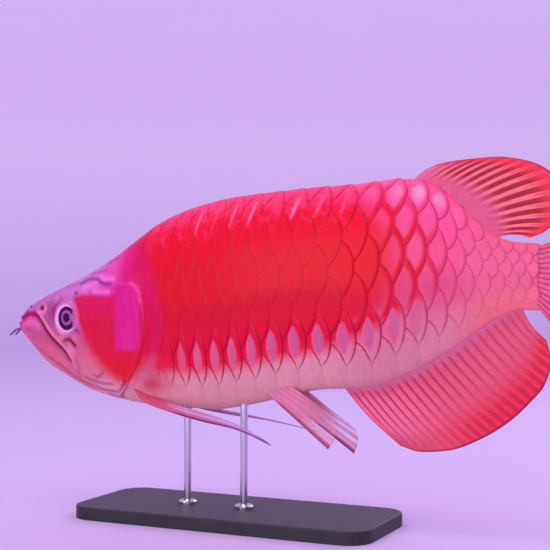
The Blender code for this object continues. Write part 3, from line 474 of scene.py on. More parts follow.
CROWN_VIOLET, CROWN_EDGE, BROW_MAUVE = tint("#C880CC"), tint("#A862B6"), tint("#CE78BE")
MUZZLE_PLUM, JAW_ROSE, JAW_STREAK = tint("#AC4A7E"), tint("#C65684"), tint("#D85480")
CHEEK_PALE, THROAT_PALE, THROAT_ROSE, THROAT_SHADE = tint("#D25E8A"), tint("#D276A6"), tint("#C8628E"), tint("#B8507E")
CHEEK_TOP, CHEEK_RED, CHEEK_LOW = tint("#DC1D60"), tint("#DA1C4A"), tint("#D41B38")
PLATE_EDGE, PLATE_SHEEN_MAGENTA, PLATE_TOP = tint("#DC2484"), tint("#DE2C8E"), tint("#DE3CA6")
NAPE_LILAC, NAPE_PINK, NAPE_RED = tint("#D878CC"), tint("#E656AC"), tint("#DE2C80")
LIP_WINE, LIP_ROSE, LIP_PALE_AND_HIGHLIGHT, CHIN_HIGHLIGHT_PINK = tint("#B61E6E"), tint("#D06A98"), tint("#F08CB4"), tint("#F46CAC")
SLIT_SHADE_DARK, FOLD_SHADE_WINE, FOLD_SHADE_VIOLET, PIT_SHADE_PLUM = tint("#8A2052"), tint("#8C0A44"), tint("#98309A"), tint("#8E2878")
ORBIT_PALE, ORBIT_SHADE = tint("#FFD6FC"), tint("#90346E")
RIDGE_HIGHLIGHT_PINK, COVER_HIGHLIGHT_PINK = tint("#F47CD0"), tint("#F64C9C")
CHEEK_PATCH = [(-168, 208), (-163, 196), (-160, 182), (-153.5, 167.7), (-146, 153), (-136, 141), (-126, 132),
               (-117, 127), (-108, 122), (-98, 132), (-86, 145), (-76, 160), (-70, 190), (-76, 214), (-95, 216),
               (-117, 213), (-141, 212.5), (-157, 211), (-168, 208)]
PLATE_PATCH = [(-115.5, 219), (-115.5, 192), (-116, 158.5), (-103, 157.5), (-89, 160), (-86, 172), (-85, 197),
               (-88, 216), (-98, 222), (-115.5, 219)]
PLATE_TOP_PATCH = [(-146, 213.5), (-133, 219), (-112, 222), (-96, 221), (-92, 214), (-112, 211.5), (-132, 211),
                   (-146, 213.5)]


def within(outline, x, z, soft):
    """1 inside a closed outline of the side view and 0 outside it, with a soft edge."""
    ox, oz = np.array(outline, float).T
    inside = np.zeros(x.shape, bool)
    away = np.full(x.shape, 1e9)
    for ax, az, bx, bz in zip(ox, oz, ox[1:], oz[1:]):
        crosses = (az > z) != (bz > z)
        inside ^= crosses & (x < ax + (z - az) * (bx - ax) / (bz - az if bz != az else 1e-9))
        length = (bx - ax) ** 2 + (bz - az) ** 2
        t = np.clip(((x - ax) * (bx - ax) + (z - az) * (bz - az)) / length, 0, 1)
        away = np.minimum(away, np.hypot(x - ax - t * (bx - ax), z - az - t * (bz - az)))
    return ramp(np.where(inside, away, -away), -soft, soft)


def head_regions(x, z, share):
    """The bare skin's colour on the head, bone by bone, without its lines."""
    tone = blend(BROW_MAUVE, JAW_ROSE, ramp(share, 0.44, 0.6))
    ahead_of_eye = bell(x + 200, 11) * ramp(z, 172, 184) * (1 - ramp(z, 200, 207))
    tone = blend(tone, MUZZLE_PLUM, 0.75 * ahead_of_eye)
    tone = blend(tone, CROWN_VIOLET, 0.9 * (1 - ramp(share, 0.1, 0.24)))
    tone = blend(tone, JAW_STREAK, 0.7 * bell(near(JAW_CREASE, x, z)[0], 4.5) * ramp(x, -214, -198))
    tone = blend(tone, CHEEK_PALE, ramp(x, -182, -166) * ramp(share, 0.5, 0.6) * (1 - ramp(share, 0.74, 0.84)))
    tone = blend(tone, THROAT_ROSE, ramp(share, 0.72, 0.82) * ramp(x, -180, -150))
    tone = blend(tone, THROAT_PALE, ramp(share, 0.8, 0.9) * ramp(x, -156, -136))
    tone = blend(tone, LIP_WINE, 0.8 * (1 - ramp(x, -234, -222)) * ramp(z, 178, 184))
    nape = blend(NAPE_LILAC, NAPE_PINK, ramp(x, -142, -124))
    nape = blend(nape, NAPE_RED, ramp(x, -122, -104))
    tone = blend(tone, nape, ramp(x, -160, -138) * (1 - ramp(share, 0.3, 0.42)))
    tone = blend(tone, SHOULDER_PINK, ramp(x, -104, -90) * (1 - ramp(share, 0.66, 0.8)))
    cheek = blend(CHEEK_RED, CHEEK_TOP, ramp(z, 176, 206))
    cheek = blend(cheek, CHEEK_LOW, 1 - ramp(z, 138, 168))
    tone = blend(tone, cheek, within(CHEEK_PATCH, x, z, mix(3.5, 9.0, 1 - ramp(z, 152, 188))))
    tone = blend(tone, PLATE_TOP, 0.9 * within(PLATE_TOP_PATCH, x, z, 4.5))
    # the gill plate: partly its own magenta, partly a painted sheen, strongest in its middle
    plate = blend(PLATE_EDGE, PLATE_SHEEN_MAGENTA, bell(x + 99, 9))
    tone = blend(tone, plate, within(PLATE_PATCH, x, z, 3.0))
    tone = blend(tone, CROWN_EDGE, 0.6 * (1 - ramp(share, 0.005, 0.03)))
    return paler_below(tone, share)


def head_tones(x, z, share):
    """The skin's colour on the head, with its lips, folds, pores and rims, and painted shade in its folds, slits and
    pits and painted highlights on its ridges.
    """
    tone = head_regions(x, z, share)
    away, along, side = near(MOUTH, x, z)
    off_top, _, top_side = near(MAXILLA_TOP, x, z)
    off_hook = near(HOOK, x, z)[0]
    above, below = (side > 0).astype(float), (side < 0).astype(float)
    in_jaw = above * (top_side < 0) * (x > -217) * (x < -164)
    tone = blend(tone, LIP_ROSE, 0.8 * in_jaw * ramp(off_top, 0, 2.0) * ramp(away, 1.0, 2.6))
    # painted highlight along the crest of the upper jaw's lip
    tone = blend(tone, LIP_PALE_AND_HIGHLIGHT, 0.85 * in_jaw * bell(away - 3.0, 1.2) * ramp(x, -222, -208))
    tone = blend(tone, LIP_PALE_AND_HIGHLIGHT, 0.8 * in_jaw * bell(x + 171, 4.5) * bell(z - 156, 9))
    front_lips = 1 - ramp(x, -218, -206)
    tone = blend(tone, LIP_WINE, 0.95 * front_lips * bell(away - 1.4 * above, 3.4))
    # painted highlight on the front of the lower jaw
    tone = blend(tone, CHIN_HIGHLIGHT_PINK, 0.95 * below * bell(away - 6.5, 3.6) * (1 - ramp(x, -220, -204)))
    tone = blend(tone, LIP_WINE, 0.8 * bell(x + 241, 3.6) * below)
    # painted shade in the slit of the mouth, behind the wine-coloured front lips
    dark = 0.95 * bell(away + 0.9 * side, 2.1) * (1 - ramp(along, 0.93, 1))
    tone = blend(tone, blend(LIP_WINE, SLIT_SHADE_DARK, ramp(x, -226, -200)), dark)
    # painted shade in the fold at the end of the upper jaw
    tone = blend(tone, FOLD_SHADE_WINE, np.minimum(1.4 * bell(off_hook, 1.8), 1))
    # painted highlights above the fold at the end of the upper jaw
    tone = blend(tone, LIP_PALE_AND_HIGHLIGHT, 0.8 * bell(np.hypot(x + 182, z - 171), 4.2))
    tone = blend(tone, LIP_PALE_AND_HIGHLIGHT, 0.7 * bell(np.hypot(x + 166.5, z - 168), 2.8))
    from_eye = np.hypot((x - EYE[0] + SOCKET_AHEAD) / SOCKET_WIDTH, z - EYE[1])
    round_eye = np.arctan2(z - EYE[1], EYE[0] - x)
    tone = blend(tone, ORBIT_SHADE, 0.85 * bell(from_eye - EYE_RADIUS - 4.2, 2.4) * bell(round_eye - 0.6, 0.8))
    tone = blend(tone, ORBIT_SHADE, 0.6 * bell(x + 194, 3.4) * bell(z - 194, 9))
    tone = blend(tone, LIP_PALE_AND_HIGHLIGHT, 0.75 * bell(from_eye - EYE_RADIUS - 2.4, 2.2) * bell(round_eye + 1.25, 0.75))
    front_half = 0.15 + 0.85 * ramp(EYE[0] - x, -6, 0)
    pale = front_half * (1 - 0.6 * ramp(EYE[1] - z, 3, 13))
    tone = blend(tone, ORBIT_PALE, pale * (1 - ramp(from_eye, EYE_RADIUS - 0.8, EYE_RADIUS + 0.5)))
    # nostrils: a painted highlight on each raised rim, painted shade on its upper side and in its hole
    for spot, radius in NOSTRILS:
        far = np.hypot(x - spot[0], z - spot[1]) / radius
        tone = blend(tone, LIP_PALE_AND_HIGHLIGHT, 0.95 * bell(far - 1.7, 0.8))
        tone = blend(tone, PIT_SHADE_PLUM, 0.95 * bell(far - 0.9, 0.9) * ramp(z - spot[1] - 0.6 * (x - spot[0]), -1, 0.6))
        tone = blend(tone, SLIT_SHADE_DARK, 0.8 * (1 - ramp(far, 0.5, 1.0)))
    # pores: painted shade in their pits
    for i, spot in enumerate(HEAD_PORES):
        tone = blend(tone, PIT_SHADE_PLUM, (0.5, 0.9)[i < 2] * bell(np.hypot(x - spot[0], z - spot[1]), (1.3, 2.2)[i < 2]))
    # painted highlights along the ridges of the nape and the top of the cheek
    for line in NAPE_RIDGES:
        tone = blend(tone, RIDGE_HIGHLIGHT_PINK, 0.8 * crease(line, x, z, 2.6))
    # painted shade in the nape's folds
    for line, strength in zip(NAPE_FOLDS, (0.9, 0.5, 0.5)):
        tone = blend(tone, FOLD_SHADE_VIOLET, strength * crease(line, x, z, 1.9))
    tone = blend(tone, CROWN_EDGE, 0.75 * crease(CROWN_LINE, x, z, 2.2))
    for line in THROAT_FOLDS + [JAW_EDGE]:
        tone = blend(tone, THROAT_SHADE, 0.8 * crease(line, x, z, 1.6))
    # painted shade in the gill notch
    tone = blend(tone, SLIT_SHADE_DARK, 0.75 * crease(GILL_NOTCH, x, z, 1.8))
    tone = blend(tone, LIP_PALE_AND_HIGHLIGHT, 0.85 * crease(GILL_STRIP, x, z, 2.4))
    # painted highlight on the upper rear of the gill cover
    tone = blend(tone, COVER_HIGHLIGHT_PINK, 0.85 * crease(COVER_SHINE, x, z, 2.2))
    # painted shade under the gill cover's rear edge
    _, past_rear, inside = gill_cover(x, z)
    return blend(tone, FOLD_SHADE_WINE, 0.25 * bell(past_rear - 1.3, 1.2) * inside)


xs = smooth_line(COLUMN_SPREAD)(np.linspace(0, 1, SKIN_COLUMNS + 1))
shares = np.linspace(0, 1, SKIN_ROWS + 1)
flank = np.zeros((len(xs), len(shares), 3))
for i, x in enumerate(xs):
    y, z, along, _ = ring(round(float(x), 2))
    flank[i] = np.stack([np.full(len(shares), x), np.interp(shares, along, y), np.interp(shares, along, z)], 1)
side_x, side_z = flank[..., 0], flank[..., 2]
side_share = np.broadcast_to(shares, side_x.shape)
out = np.cross(np.gradient(flank, axis=1), np.gradient(flank, axis=0))
out[:, 0, :2] = out[:, -1, :2] = 0
out /= np.maximum(np.linalg.norm(out, axis=2, keepdims=True), 1e-9)
if out[len(xs) // 2, len(shares) // 2, 1] > 0:
    out = -out
scaled = covered(side_x, side_share)
relief = mix(head_relief(side_x, side_z, side_share), -UNDER_SCALES, scaled)
relief *= ramp(side_x, SNOUT_X, SNOUT_X + 1.5)
flank = flank + out * relief[..., None]
flank[0, :, 1] = flank[-1, :, 1] = 0
_, under, _ = body_tones(side_x, side_share)
tone = blend(head_tones(side_x, side_z, side_share), under, scaled)
whole = np.concatenate([flank, flank[:, -2::-1] * (1, -1, 1)], axis=1)
bm = bmesh.new()
mapped_grid(bm, whole, {"tone": np.concatenate([tone, tone[:, -2::-1]], axis=1),
                        "bare": 1 - np.concatenate([scaled, scaled[:, -2::-1]], axis=1)})
bmesh.ops.remove_doubles(bm, verts=bm.verts, dist=0.002)

# Finish: thin fish skin under clear mucus, wet and slightly see-through. Fine pores and folds a few
# tenths of a millimetre across break up its gloss.
skin_finish, tree, shader = new_finish("mucus_wet_fish_skin", Roughness=0.4, Coat_Weight=0.12,
                                       Coat_Roughness=0.14, Specular_IOR_Level=0.2, Subsurface_Weight=0.1,
                                       Subsurface_Scale=0.003)
tone_in = add_node(tree, "ShaderNodeAttribute", attribute_name="tone").outputs["Color"]
spots_in = add_node(tree, "ShaderNodeTexCoord").outputs["Object"]
# mottling 6 mm across, pores 0.9 mm apart
mottle = add_node(tree, "ShaderNodeTexNoise", {"Vector": spots_in, "Scale": 160.0, "Detail": 4.0}).outputs["Fac"]
pores = add_node(tree, "ShaderNodeTexVoronoi", {"Vector": spots_in, "Scale": 1100.0}).outputs["Distance"]
shade = add_node(tree, "ShaderNodeMapRange", {0: mottle, 3: 0.84, 4: 1.16}).outputs[0]
toned = add_node(tree, "ShaderNodeMix", {0: 1.0, 6: tone_in, 7: shade}, data_type="RGBA", blend_type="MULTIPLY")
tree.links.new(toned.outputs[2], shader.inputs["Base Color"])
grain = add_node(tree, "ShaderNodeMath", {0: mottle, 1: pores}, operation="MULTIPLY_ADD")
grain.inputs[2].default_value = 0.0
relief_in = add_node(tree, "ShaderNodeBump", {"Strength": 0.35, "Distance": 0.0006, "Height": grain.outputs[0]})
tree.links.new(relief_in.outputs[0], shader.inputs["Normal"])
skin = make_piece("skin", bm, skin_finish)
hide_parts("head", "jaw_lower", "gill_cover_left", "gill_cover_right", "trunk", "tail_stem")
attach(skin, "root")

# The eyes: a big, flattened ball with a domed clear front over a silver-violet iris and a bulging
# black pupil. It is set square to the side of the head, in the socket of the skin.
PUPIL, IRIS_EDGE = 3.6, 9.6
GAZE = Vector((1.9 + SOCKET_AHEAD, 1.6))
place_share = share_at(*EYE)
ahead = on_body(EYE[0] + 1, place_share) - on_body(EYE[0] - 1, place_share)
down = on_body(EYE[0], place_share + 0.01) - on_body(EYE[0], place_share - 0.01)
eye_out = Vector(np.cross(down, ahead)).normalized()
eye_out = eye_out if eye_out.y < 0 else -eye_out
eye_centre = Vector(on_body(EYE[0] - SOCKET_AHEAD, place_share)) + eye_out * (EYE_PROUD - EYE_DEPTH)
eye_finish, tree, shader = new_finish("wet_silver_iris_eye", Roughness=0.25, Coat_Weight=0.15,
                                      Coat_Roughness=0.04, IOR=1.34, Specular_IOR_Level=0.1)
from_axis = add_node(tree, "ShaderNodeAttribute", attribute_name="from_axis").outputs["Fac"]
rings = add_node(tree, "ShaderNodeValToRGB", {"Fac": from_axis})
EYE_RINGS = [(0.0, "#3C004C"), (0.25, "#38004A"), (0.31, "#74286E"), (0.36, "#A2569C"), (0.46, "#A2549A"),
             (0.53, "#58104E"), (0.58, "#380034"), (0.75, "#3E0238"), (0.80, "#C070B0"), (0.84, "#FFD4FA"),
             (1.0, "#FCC0EC")]
REAR_WHITE = "#D070A8"
for i, (spot, code) in enumerate(EYE_RINGS):
    stop = rings.color_ramp.elements[i] if i < 2 else rings.color_ramp.elements.new(spot)
    stop.position, stop.color = spot, srgb(code)
spots_in = add_node(tree, "ShaderNodeTexCoord").outputs["Object"]
# flecks of silver pigment 0.7 mm across
flecks = add_node(tree, "ShaderNodeTexNoise", {"Vector": spots_in, "Scale": 1400.0, "Detail": 3.0}).outputs["Fac"]
fleck_shade = add_node(tree, "ShaderNodeMapRange", {0: flecks, 3: 0.7, 4: 1.3}).outputs[0]
flecked = add_node(tree, "ShaderNodeMix", {0: 1.0, 6: rings.outputs[0], 7: fleck_shade}, data_type="RGBA",
                   blend_type="MULTIPLY")
rearward_in = add_node(tree, "ShaderNodeAttribute", attribute_name="rearward").outputs["Fac"]
softened = add_node(tree, "ShaderNodeMix", {0: rearward_in, 6: flecked.outputs[2], 7: srgb(REAR_WHITE)},
                    data_type="RGBA")
tree.links.new(softened.outputs[2], shader.inputs["Base Color"])
for side, mirror in (("left", 1), ("right", -1)):
    bm = bmesh.new()
    profile = []
    for r in list(np.linspace(0, PUPIL, 6)) + list(np.linspace(PUPIL + 0.3, IRIS_EDGE, 8)) \
            + list(np.linspace(IRIS_EDGE + 0.5, EYE_RADIUS, 10)):
        height = EYE_DEPTH * math.sqrt(max(0, 1 - (r / EYE_RADIUS) ** 2))
        if r <= PUPIL:
            height += 0.55 * (1 - (r / PUPIL) ** 2) ** 0.5 - 0.35
        elif r <= IRIS_EDGE:
            height -= 0.55
        profile.append((r, height))
    profile += [(EYE_RADIUS * 0.7, -EYE_DEPTH * 0.7), (0, -EYE_DEPTH)]
    verts = [bm.verts.new((r, 0, h)) for r, h in profile]
    edges = [bm.edges.new(pair) for pair in zip(verts, verts[1:])]
    bmesh.ops.spin(bm, geom=verts + edges, axis=(0, 0, 1), angle=math.tau, steps=64, use_merge=True)
    bmesh.ops.remove_doubles(bm, verts=bm.verts, dist=0.001)
    layer, rear_layer = bm.verts.layers.float.new("from_axis"), bm.verts.layers.float.new("rearward")
    rearward = (Vector((1, 0, 0)) - eye_out * eye_out.x).normalized()
    upward = rearward.cross(eye_out)
    upward = upward if upward.z > 0 else -upward
    turn = Matrix((rearward, upward, eye_out)).transposed().to_4x4()
    for v in bm.verts:
        narrow = SOCKET_WIDTH if v.co.x < 0 else 1.0
        v[layer] = math.hypot(v.co.x / narrow, v.co.y) / EYE_RADIUS if v.co.z > -0.1 else 1.0
        v[rear_layer] = 0.75 * float(ramp(v.co.x - 0.2 * abs(v.co.y), 5.0, 8.5))
        v.co.xy += GAZE * max(0, 1 - v.co.xy.length_squared / EYE_RADIUS ** 2) * (v.co.z > 0)
    bmesh.ops.transform(bm, matrix=Matrix.Translation(eye_centre) @ turn, verts=bm.verts)
    bmesh.ops.scale(bm, vec=(1, mirror, 1), verts=bm.verts)
    eye = make_piece("eye_" + side + "_ball", bm, eye_finish)
    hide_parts("eye_" + side)
    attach(eye, "root")

# The scales: big, hard, overlapping plates in staggered rows, the foremost on top, each with a
# raised, fleshy rim drawn as a darker line: partly its own colour, partly painted shade of the crevice
# under its edge. They are made row by row from one small curved sheet.
ROW_SHARES = [0, 0.148, 0.296, 0.444, 0.592, 0.74, 0.888, 1.036]
ROW_SHARES_REAR = [0, 0.1, 0.225, 0.385, 0.55, 0.73, 0.89, 1.04]
SCALE_PITCH = [(-80, 16.5), (0, 18.5), (50, 22), (90, 23.5), (130, 23), (160, 20.5), (190, 17.5),
               (220, 15), (250, 12), (285, 10)]
SCALE_RISE, SCALE_RUN = 1.3, 1.3
PLATE_ALONG, PLATE_ACROSS = 5, 14
RIM_SWEEP = math.radians(80)
RIM_THICKNESS = 1.2
OVAL_ROW = 5
scale_pitch = smooth_line(SCALE_PITCH)
COLUMNS = [-160.0]
while COLUMNS[-1] < TAIL_BASE_X + 30:
    COLUMNS.append(COLUMNS[-1] + float(scale_pitch(COLUMNS[-1])))


def column_x(column):
    return float(np.interp(column, range(len(COLUMNS)), COLUMNS))


def row_share(row, x):
    """Where a row's middle, or a place between rows, lies on the way from back to belly."""
    rear = ramp(x, 90, 190)
    return float(np.interp(row, range(8), [mix(a, b, rear) for a, b in zip(ROW_SHARES, ROW_SHARES_REAR)]))


def scale_fade(x, share):
    """1 where scales stand out in full, and 0 by the shoulder, along the fins and on the belly."""
    off_shoulder = ramp(x - shoulder(share), 1, 12)
    off_dorsal = 1 - (1 - ramp(share, 0.03, 0.08)) * ramp(x, 168, 176) * (1 - ramp(x, 256, 262))
    off_belly = 1 - ramp(share, 0.86, 0.95)
    off_pectoral = ramp(math.hypot((x + 88) / 20, (share - 0.935) / 0.1), 0.6, 1.1)
    return off_shoulder * off_dorsal * off_belly * off_pectoral


def scale_point(column, row, lift):
    """A place on a scale; rows above the back's midline lie on the right side."""
    x = column_x(column)
    share = row_share(abs(row), x)
    shown = 0.81 * line_strength(x, share) - 0.07 + 0.29 * (1 - ramp(share, 0.1, 0.25))
    shown *= 0.12 + 0.88 * scale_fade(x, share)
    place = on_body(x, min(share, 1.0), 0.12 + lift * shown)
    return place * (1, -1 if row < 0 else 1, 1), x, share


def add_scale(bm, tip, row, mirror, cell):
    """One scale, with its colours and its own patch of the map that it is baked through.

    Its own coordinates are kept too: along and across the lens that its middle shows, which is 1 wide
    and 1 high, and millimetres in from the rim. The fourth part of its colours tells how strongly it
    shows a halo with its painted highlight, a painted highlight streak and mottling.
    """
    place = np.zeros((PLATE_ALONG + 2, PLATE_ACROSS + 1, 3))
    xs, shares = np.zeros(place.shape[:2]), np.zeros(place.shape[:2])
    own = np.zeros(place.shape)
    slim = 1.0 if row != OVAL_ROW else 1 + 0.5 * (1 - float(ramp(column_x(tip), 150, 200)))
    for j, turn in enumerate(np.linspace(-RIM_SWEEP, RIM_SWEEP, PLATE_ACROSS + 1)):
        rim_column = tip - (1 - math.cos(turn))
        root_column = tip - 1.32
        at_row = row + math.sin(turn)
        for i in range(PLATE_ALONG + 2):
            t = min(i / PLATE_ALONG, 1) ** 0.8
            column = root_column + t * (rim_column - root_column)
            lift = SCALE_RISE * (1 - (tip - column) / SCALE_RUN) + 0.3 * math.sin(math.pi * t) * math.cos(turn)
            inward = (rim_column - column) * float(scale_pitch(column_x(column)))
            own[i, j] = ((column - tip + 0.52) * 2.4 * slim, (at_row - row) * 1.6 * slim ** 0.4, inward)
            if i > PLATE_ALONG:
                column += 0.014
                lift -= RIM_THICKNESS
            spot, xs[i, j], shares[i, j] = scale_point(column, at_row, lift)
            place[i, j] = spot * (1, mirror, 1)
    core, frame_tone, line = body_tones(xs, shares)
    # the rim line, partly own colour and partly painted shade, as strong as the rims show there
    line = blend(frame_tone, line, np.maximum(line_strength(xs, shares), 0.6 * (shares < 0.8)))
    by_head = 1 - ramp(xs - shoulder(shares), 3, 20)
    head_tone = head_regions(xs, place[..., 2], shares)
    core, frame_tone, line = [blend(tone, head_tone, by_head) for tone in (core, frame_tone, line)]
    # halo strength: a pale ring of the scale's own pattern, which the finish brightens toward the head with a painted
    # highlight
    oval, halo, highlight_streak = np.zeros(xs.shape), 0.55 * ramp(xs - pink_onset(shares), -25, 15), 0.0
    if row == OVAL_ROW:
        oval = 0.95 * ramp(xs, -62, -35) * (1 - ramp(xs, 165, 205))
        halo = np.maximum(oval, halo)
        core = blend(core, blend(OVAL_ROSE, OVAL_MAUVE, ramp(xs, -40, 90)), oval)
    halo = halo * (1 - ramp(xs, 170, 225)) * (1 - ramp(shares, 0.8, 0.86))
    # painted highlights: pale streaks of glint on the top row of scales
    if row == 1:
        highlight_streak = 0.55 + 0.45 * math.sin(2.4 * tip)
    highlight_streak = highlight_streak * ramp(xs, -50, -15) * (1 - ramp(xs, 112, 140))
    mottle = (1 - ramp(shares, 0.17, 0.27)) * ramp(xs, -90, -60) * (1 - ramp(xs, 120, 160))
    verts = mapped_grid(bm, place, {"core": np.dstack([core, halo]), "frame": np.dstack([frame_tone, highlight_streak]),
                                    "line": np.dstack([line, mottle]), "own": own})
    uv = bm.loops.layers.uv["OFBake"]
    for face in {f for v in verts for f in v.link_faces}:
        for loop in face.loops:
            u, v = loop[uv].uv
            loop[uv].uv = (cell[0] + u * cell[2] * 0.94, cell[1] + v * cell[3] * 0.94)


# Finish: bone plates with a pearly backing under wet skin. A dull lens-shaped middle lies in a brighter
# frame, and the fleshy rim is a darker line, partly its own colour and partly painted shade of the
# crevice under its edge. Fine growth rings run with the rim.
OVAL_ROSE, OVAL_MAUVE = tint("#E2708E"), tint("#D26C94")
HALO_HIGHLIGHT_PINK, HIGHLIGHT_STREAK_PALE, BLOTCH_PINK = [(*tint(code), 1) for code in ("#EE6C98", "#FF7CB0", "#FF5088")]
scale_finish, tree, shader = new_finish("pearl_backed_scales", Coat_Weight=0.08, Coat_Roughness=0.18, Metallic=0.03,
                                        Specular_IOR_Level=0.12, Subsurface_Weight=0.1, Subsurface_Scale=0.003)
core_in, frame_in, line_in, own_in = [
    add_node(tree, "ShaderNodeAttribute", attribute_name=name).outputs for name in ("core", "frame", "line", "own")]
own_parts = add_node(tree, "ShaderNodeSeparateXYZ", {"Vector": own_in["Vector"]}).outputs
spots_in = add_node(tree, "ShaderNodeTexCoord").outputs["Object"]
# ragged pigment 4 mm across, and pits 1.6 mm apart
pigment = add_node(tree, "ShaderNodeTexNoise", {"Vector": spots_in, "Scale": 250.0, "Detail": 5.0}).outputs["Fac"]
ragged = add_node(tree, "ShaderNodeMapRange", {0: pigment, 1: 0.3, 2: 0.7, 3: -1.0, 4: 1.0}).outputs[0]
pits = add_node(tree, "ShaderNodeTexVoronoi", {"Vector": spots_in, "Scale": 620.0}).outputs["Distance"]
# the lens: how far along from its middle, plus the square of how far across
wide = add_node(tree, "ShaderNodeMath", {0: own_parts[0]}, operation="ABSOLUTE").outputs[0]
tall = add_node(tree, "ShaderNodeMath", {0: own_parts[1], 1: own_parts[1]}, operation="MULTIPLY").outputs[0]
lens = add_node(tree, "ShaderNodeMath", {0: wide, 1: tall}, operation="ADD").outputs[0]
lens = add_node(tree, "ShaderNodeMath", {0: ragged, 1: 0.09, 2: lens}, operation="MULTIPLY_ADD").outputs[0]
in_core = add_node(tree, "ShaderNodeMapRange", {0: lens, 1: 0.5, 2: 1.0, 3: 1.0, 4: 0.0},
                   interpolation_type="SMOOTHSTEP").outputs[0]
toned = add_node(tree, "ShaderNodeMix", {0: in_core, 6: frame_in["Color"], 7: core_in["Color"]},
                 data_type="RGBA").outputs[2]
# the halo: a paler ring round the lens, part of the scale's own pattern, with a painted highlight that makes it
# brightest on the side toward the head
halo_in = add_node(tree, "ShaderNodeMapRange", {0: lens, 1: 0.45, 2: 0.78}, interpolation_type="SMOOTHSTEP").outputs[0]
halo_out = add_node(tree, "ShaderNodeMapRange", {0: lens, 1: 0.85, 2: 1.12, 3: 1.0, 4: 0.0},
                    interpolation_type="SMOOTHSTEP").outputs[0]
headward_highlight = add_node(tree, "ShaderNodeMapRange", {0: own_parts[0], 1: -0.8, 2: 0.7, 3: 1.0, 4: 0.2}).outputs[0]
halo = add_node(tree, "ShaderNodeMath", {0: halo_in, 1: halo_out}, operation="MULTIPLY").outputs[0]
halo = add_node(tree, "ShaderNodeMath", {0: halo, 1: headward_highlight}, operation="MULTIPLY").outputs[0]
halo = add_node(tree, "ShaderNodeMath", {0: halo, 1: core_in["Alpha"]}, operation="MULTIPLY").outputs[0]
toned = add_node(tree, "ShaderNodeMix", {0: halo, 6: toned, 7: HALO_HIGHLIGHT_PINK}, data_type="RGBA").outputs[2]
# the streak: a painted highlight, a pale stroke that leans back toward the spine
lean = add_node(tree, "ShaderNodeMath", {0: own_parts[1], 1: 0.6, 2: own_parts[0]}, operation="MULTIPLY_ADD").outputs[0]
lean = add_node(tree, "ShaderNodeMath", {0: ragged, 1: 0.08, 2: lean}, operation="MULTIPLY_ADD").outputs[0]
lean = add_node(tree, "ShaderNodeMath", {0: lean}, operation="ABSOLUTE").outputs[0]
thin = add_node(tree, "ShaderNodeMapRange", {0: lean, 1: 0.02, 2: 0.34, 3: 1.0, 4: 0.0},
                interpolation_type="SMOOTHSTEP").outputs[0]
short = add_node(tree, "ShaderNodeMapRange", {0: tall, 1: 0.04, 2: 0.42, 3: 1.0, 4: 0.0}).outputs[0]
highlight_streak = add_node(tree, "ShaderNodeMath", {0: thin, 1: short}, operation="MULTIPLY").outputs[0]
highlight_streak = add_node(tree, "ShaderNodeMath", {0: highlight_streak, 1: frame_in["Alpha"]}, operation="MULTIPLY").outputs[0]
toned = add_node(tree, "ShaderNodeMix", {0: highlight_streak, 6: toned, 7: HIGHLIGHT_STREAK_PALE}, data_type="RGBA").outputs[2]
# the rim line: partly the rim's own colour, partly painted shade of the crevice under the scale's edge
wander = add_node(tree, "ShaderNodeMath", {0: ragged, 1: 0.4, 2: own_parts[2]}, operation="MULTIPLY_ADD").outputs[0]
on_line = add_node(tree, "ShaderNodeMapRange", {0: wander, 1: 0.5, 2: 2.2, 3: 1.0, 4: 0.0}).outputs[0]
toned = add_node(tree, "ShaderNodeMix", {0: on_line, 6: toned, 7: line_in["Color"]}, data_type="RGBA").outputs[2]
# pink blotches 7 mm across
patchy = add_node(tree, "ShaderNodeTexNoise", {"Vector": spots_in, "Scale": 120.0, "Detail": 2.0}).outputs["Fac"]
patchy = add_node(tree, "ShaderNodeMapRange", {0: patchy, 1: 0.48, 2: 0.68, 4: 0.42}).outputs[0]
patchy = add_node(tree, "ShaderNodeMath", {0: patchy, 1: line_in["Alpha"]}, operation="MULTIPLY").outputs[0]
toned = add_node(tree, "ShaderNodeMix", {0: patchy, 6: toned, 7: BLOTCH_PINK}, data_type="RGBA").outputs[2]
strength = add_node(tree, "ShaderNodeMath", {0: line_in["Alpha"], 1: 0.06, 2: 0.05}, operation="MULTIPLY_ADD")
shade = add_node(tree, "ShaderNodeMath", {0: ragged, 1: strength.outputs[0], 2: 1.0}, operation="MULTIPLY_ADD").outputs[0]
mottled = add_node(tree, "ShaderNodeMix", {0: 1.0, 6: toned, 7: shade}, data_type="RGBA", blend_type="MULTIPLY")
tree.links.new(mottled.outputs[2], shader.inputs["Base Color"])
rough = add_node(tree, "ShaderNodeMapRange", {0: pigment, 3: 0.34, 4: 0.5}).outputs[0]
tree.links.new(rough, shader.inputs["Roughness"])
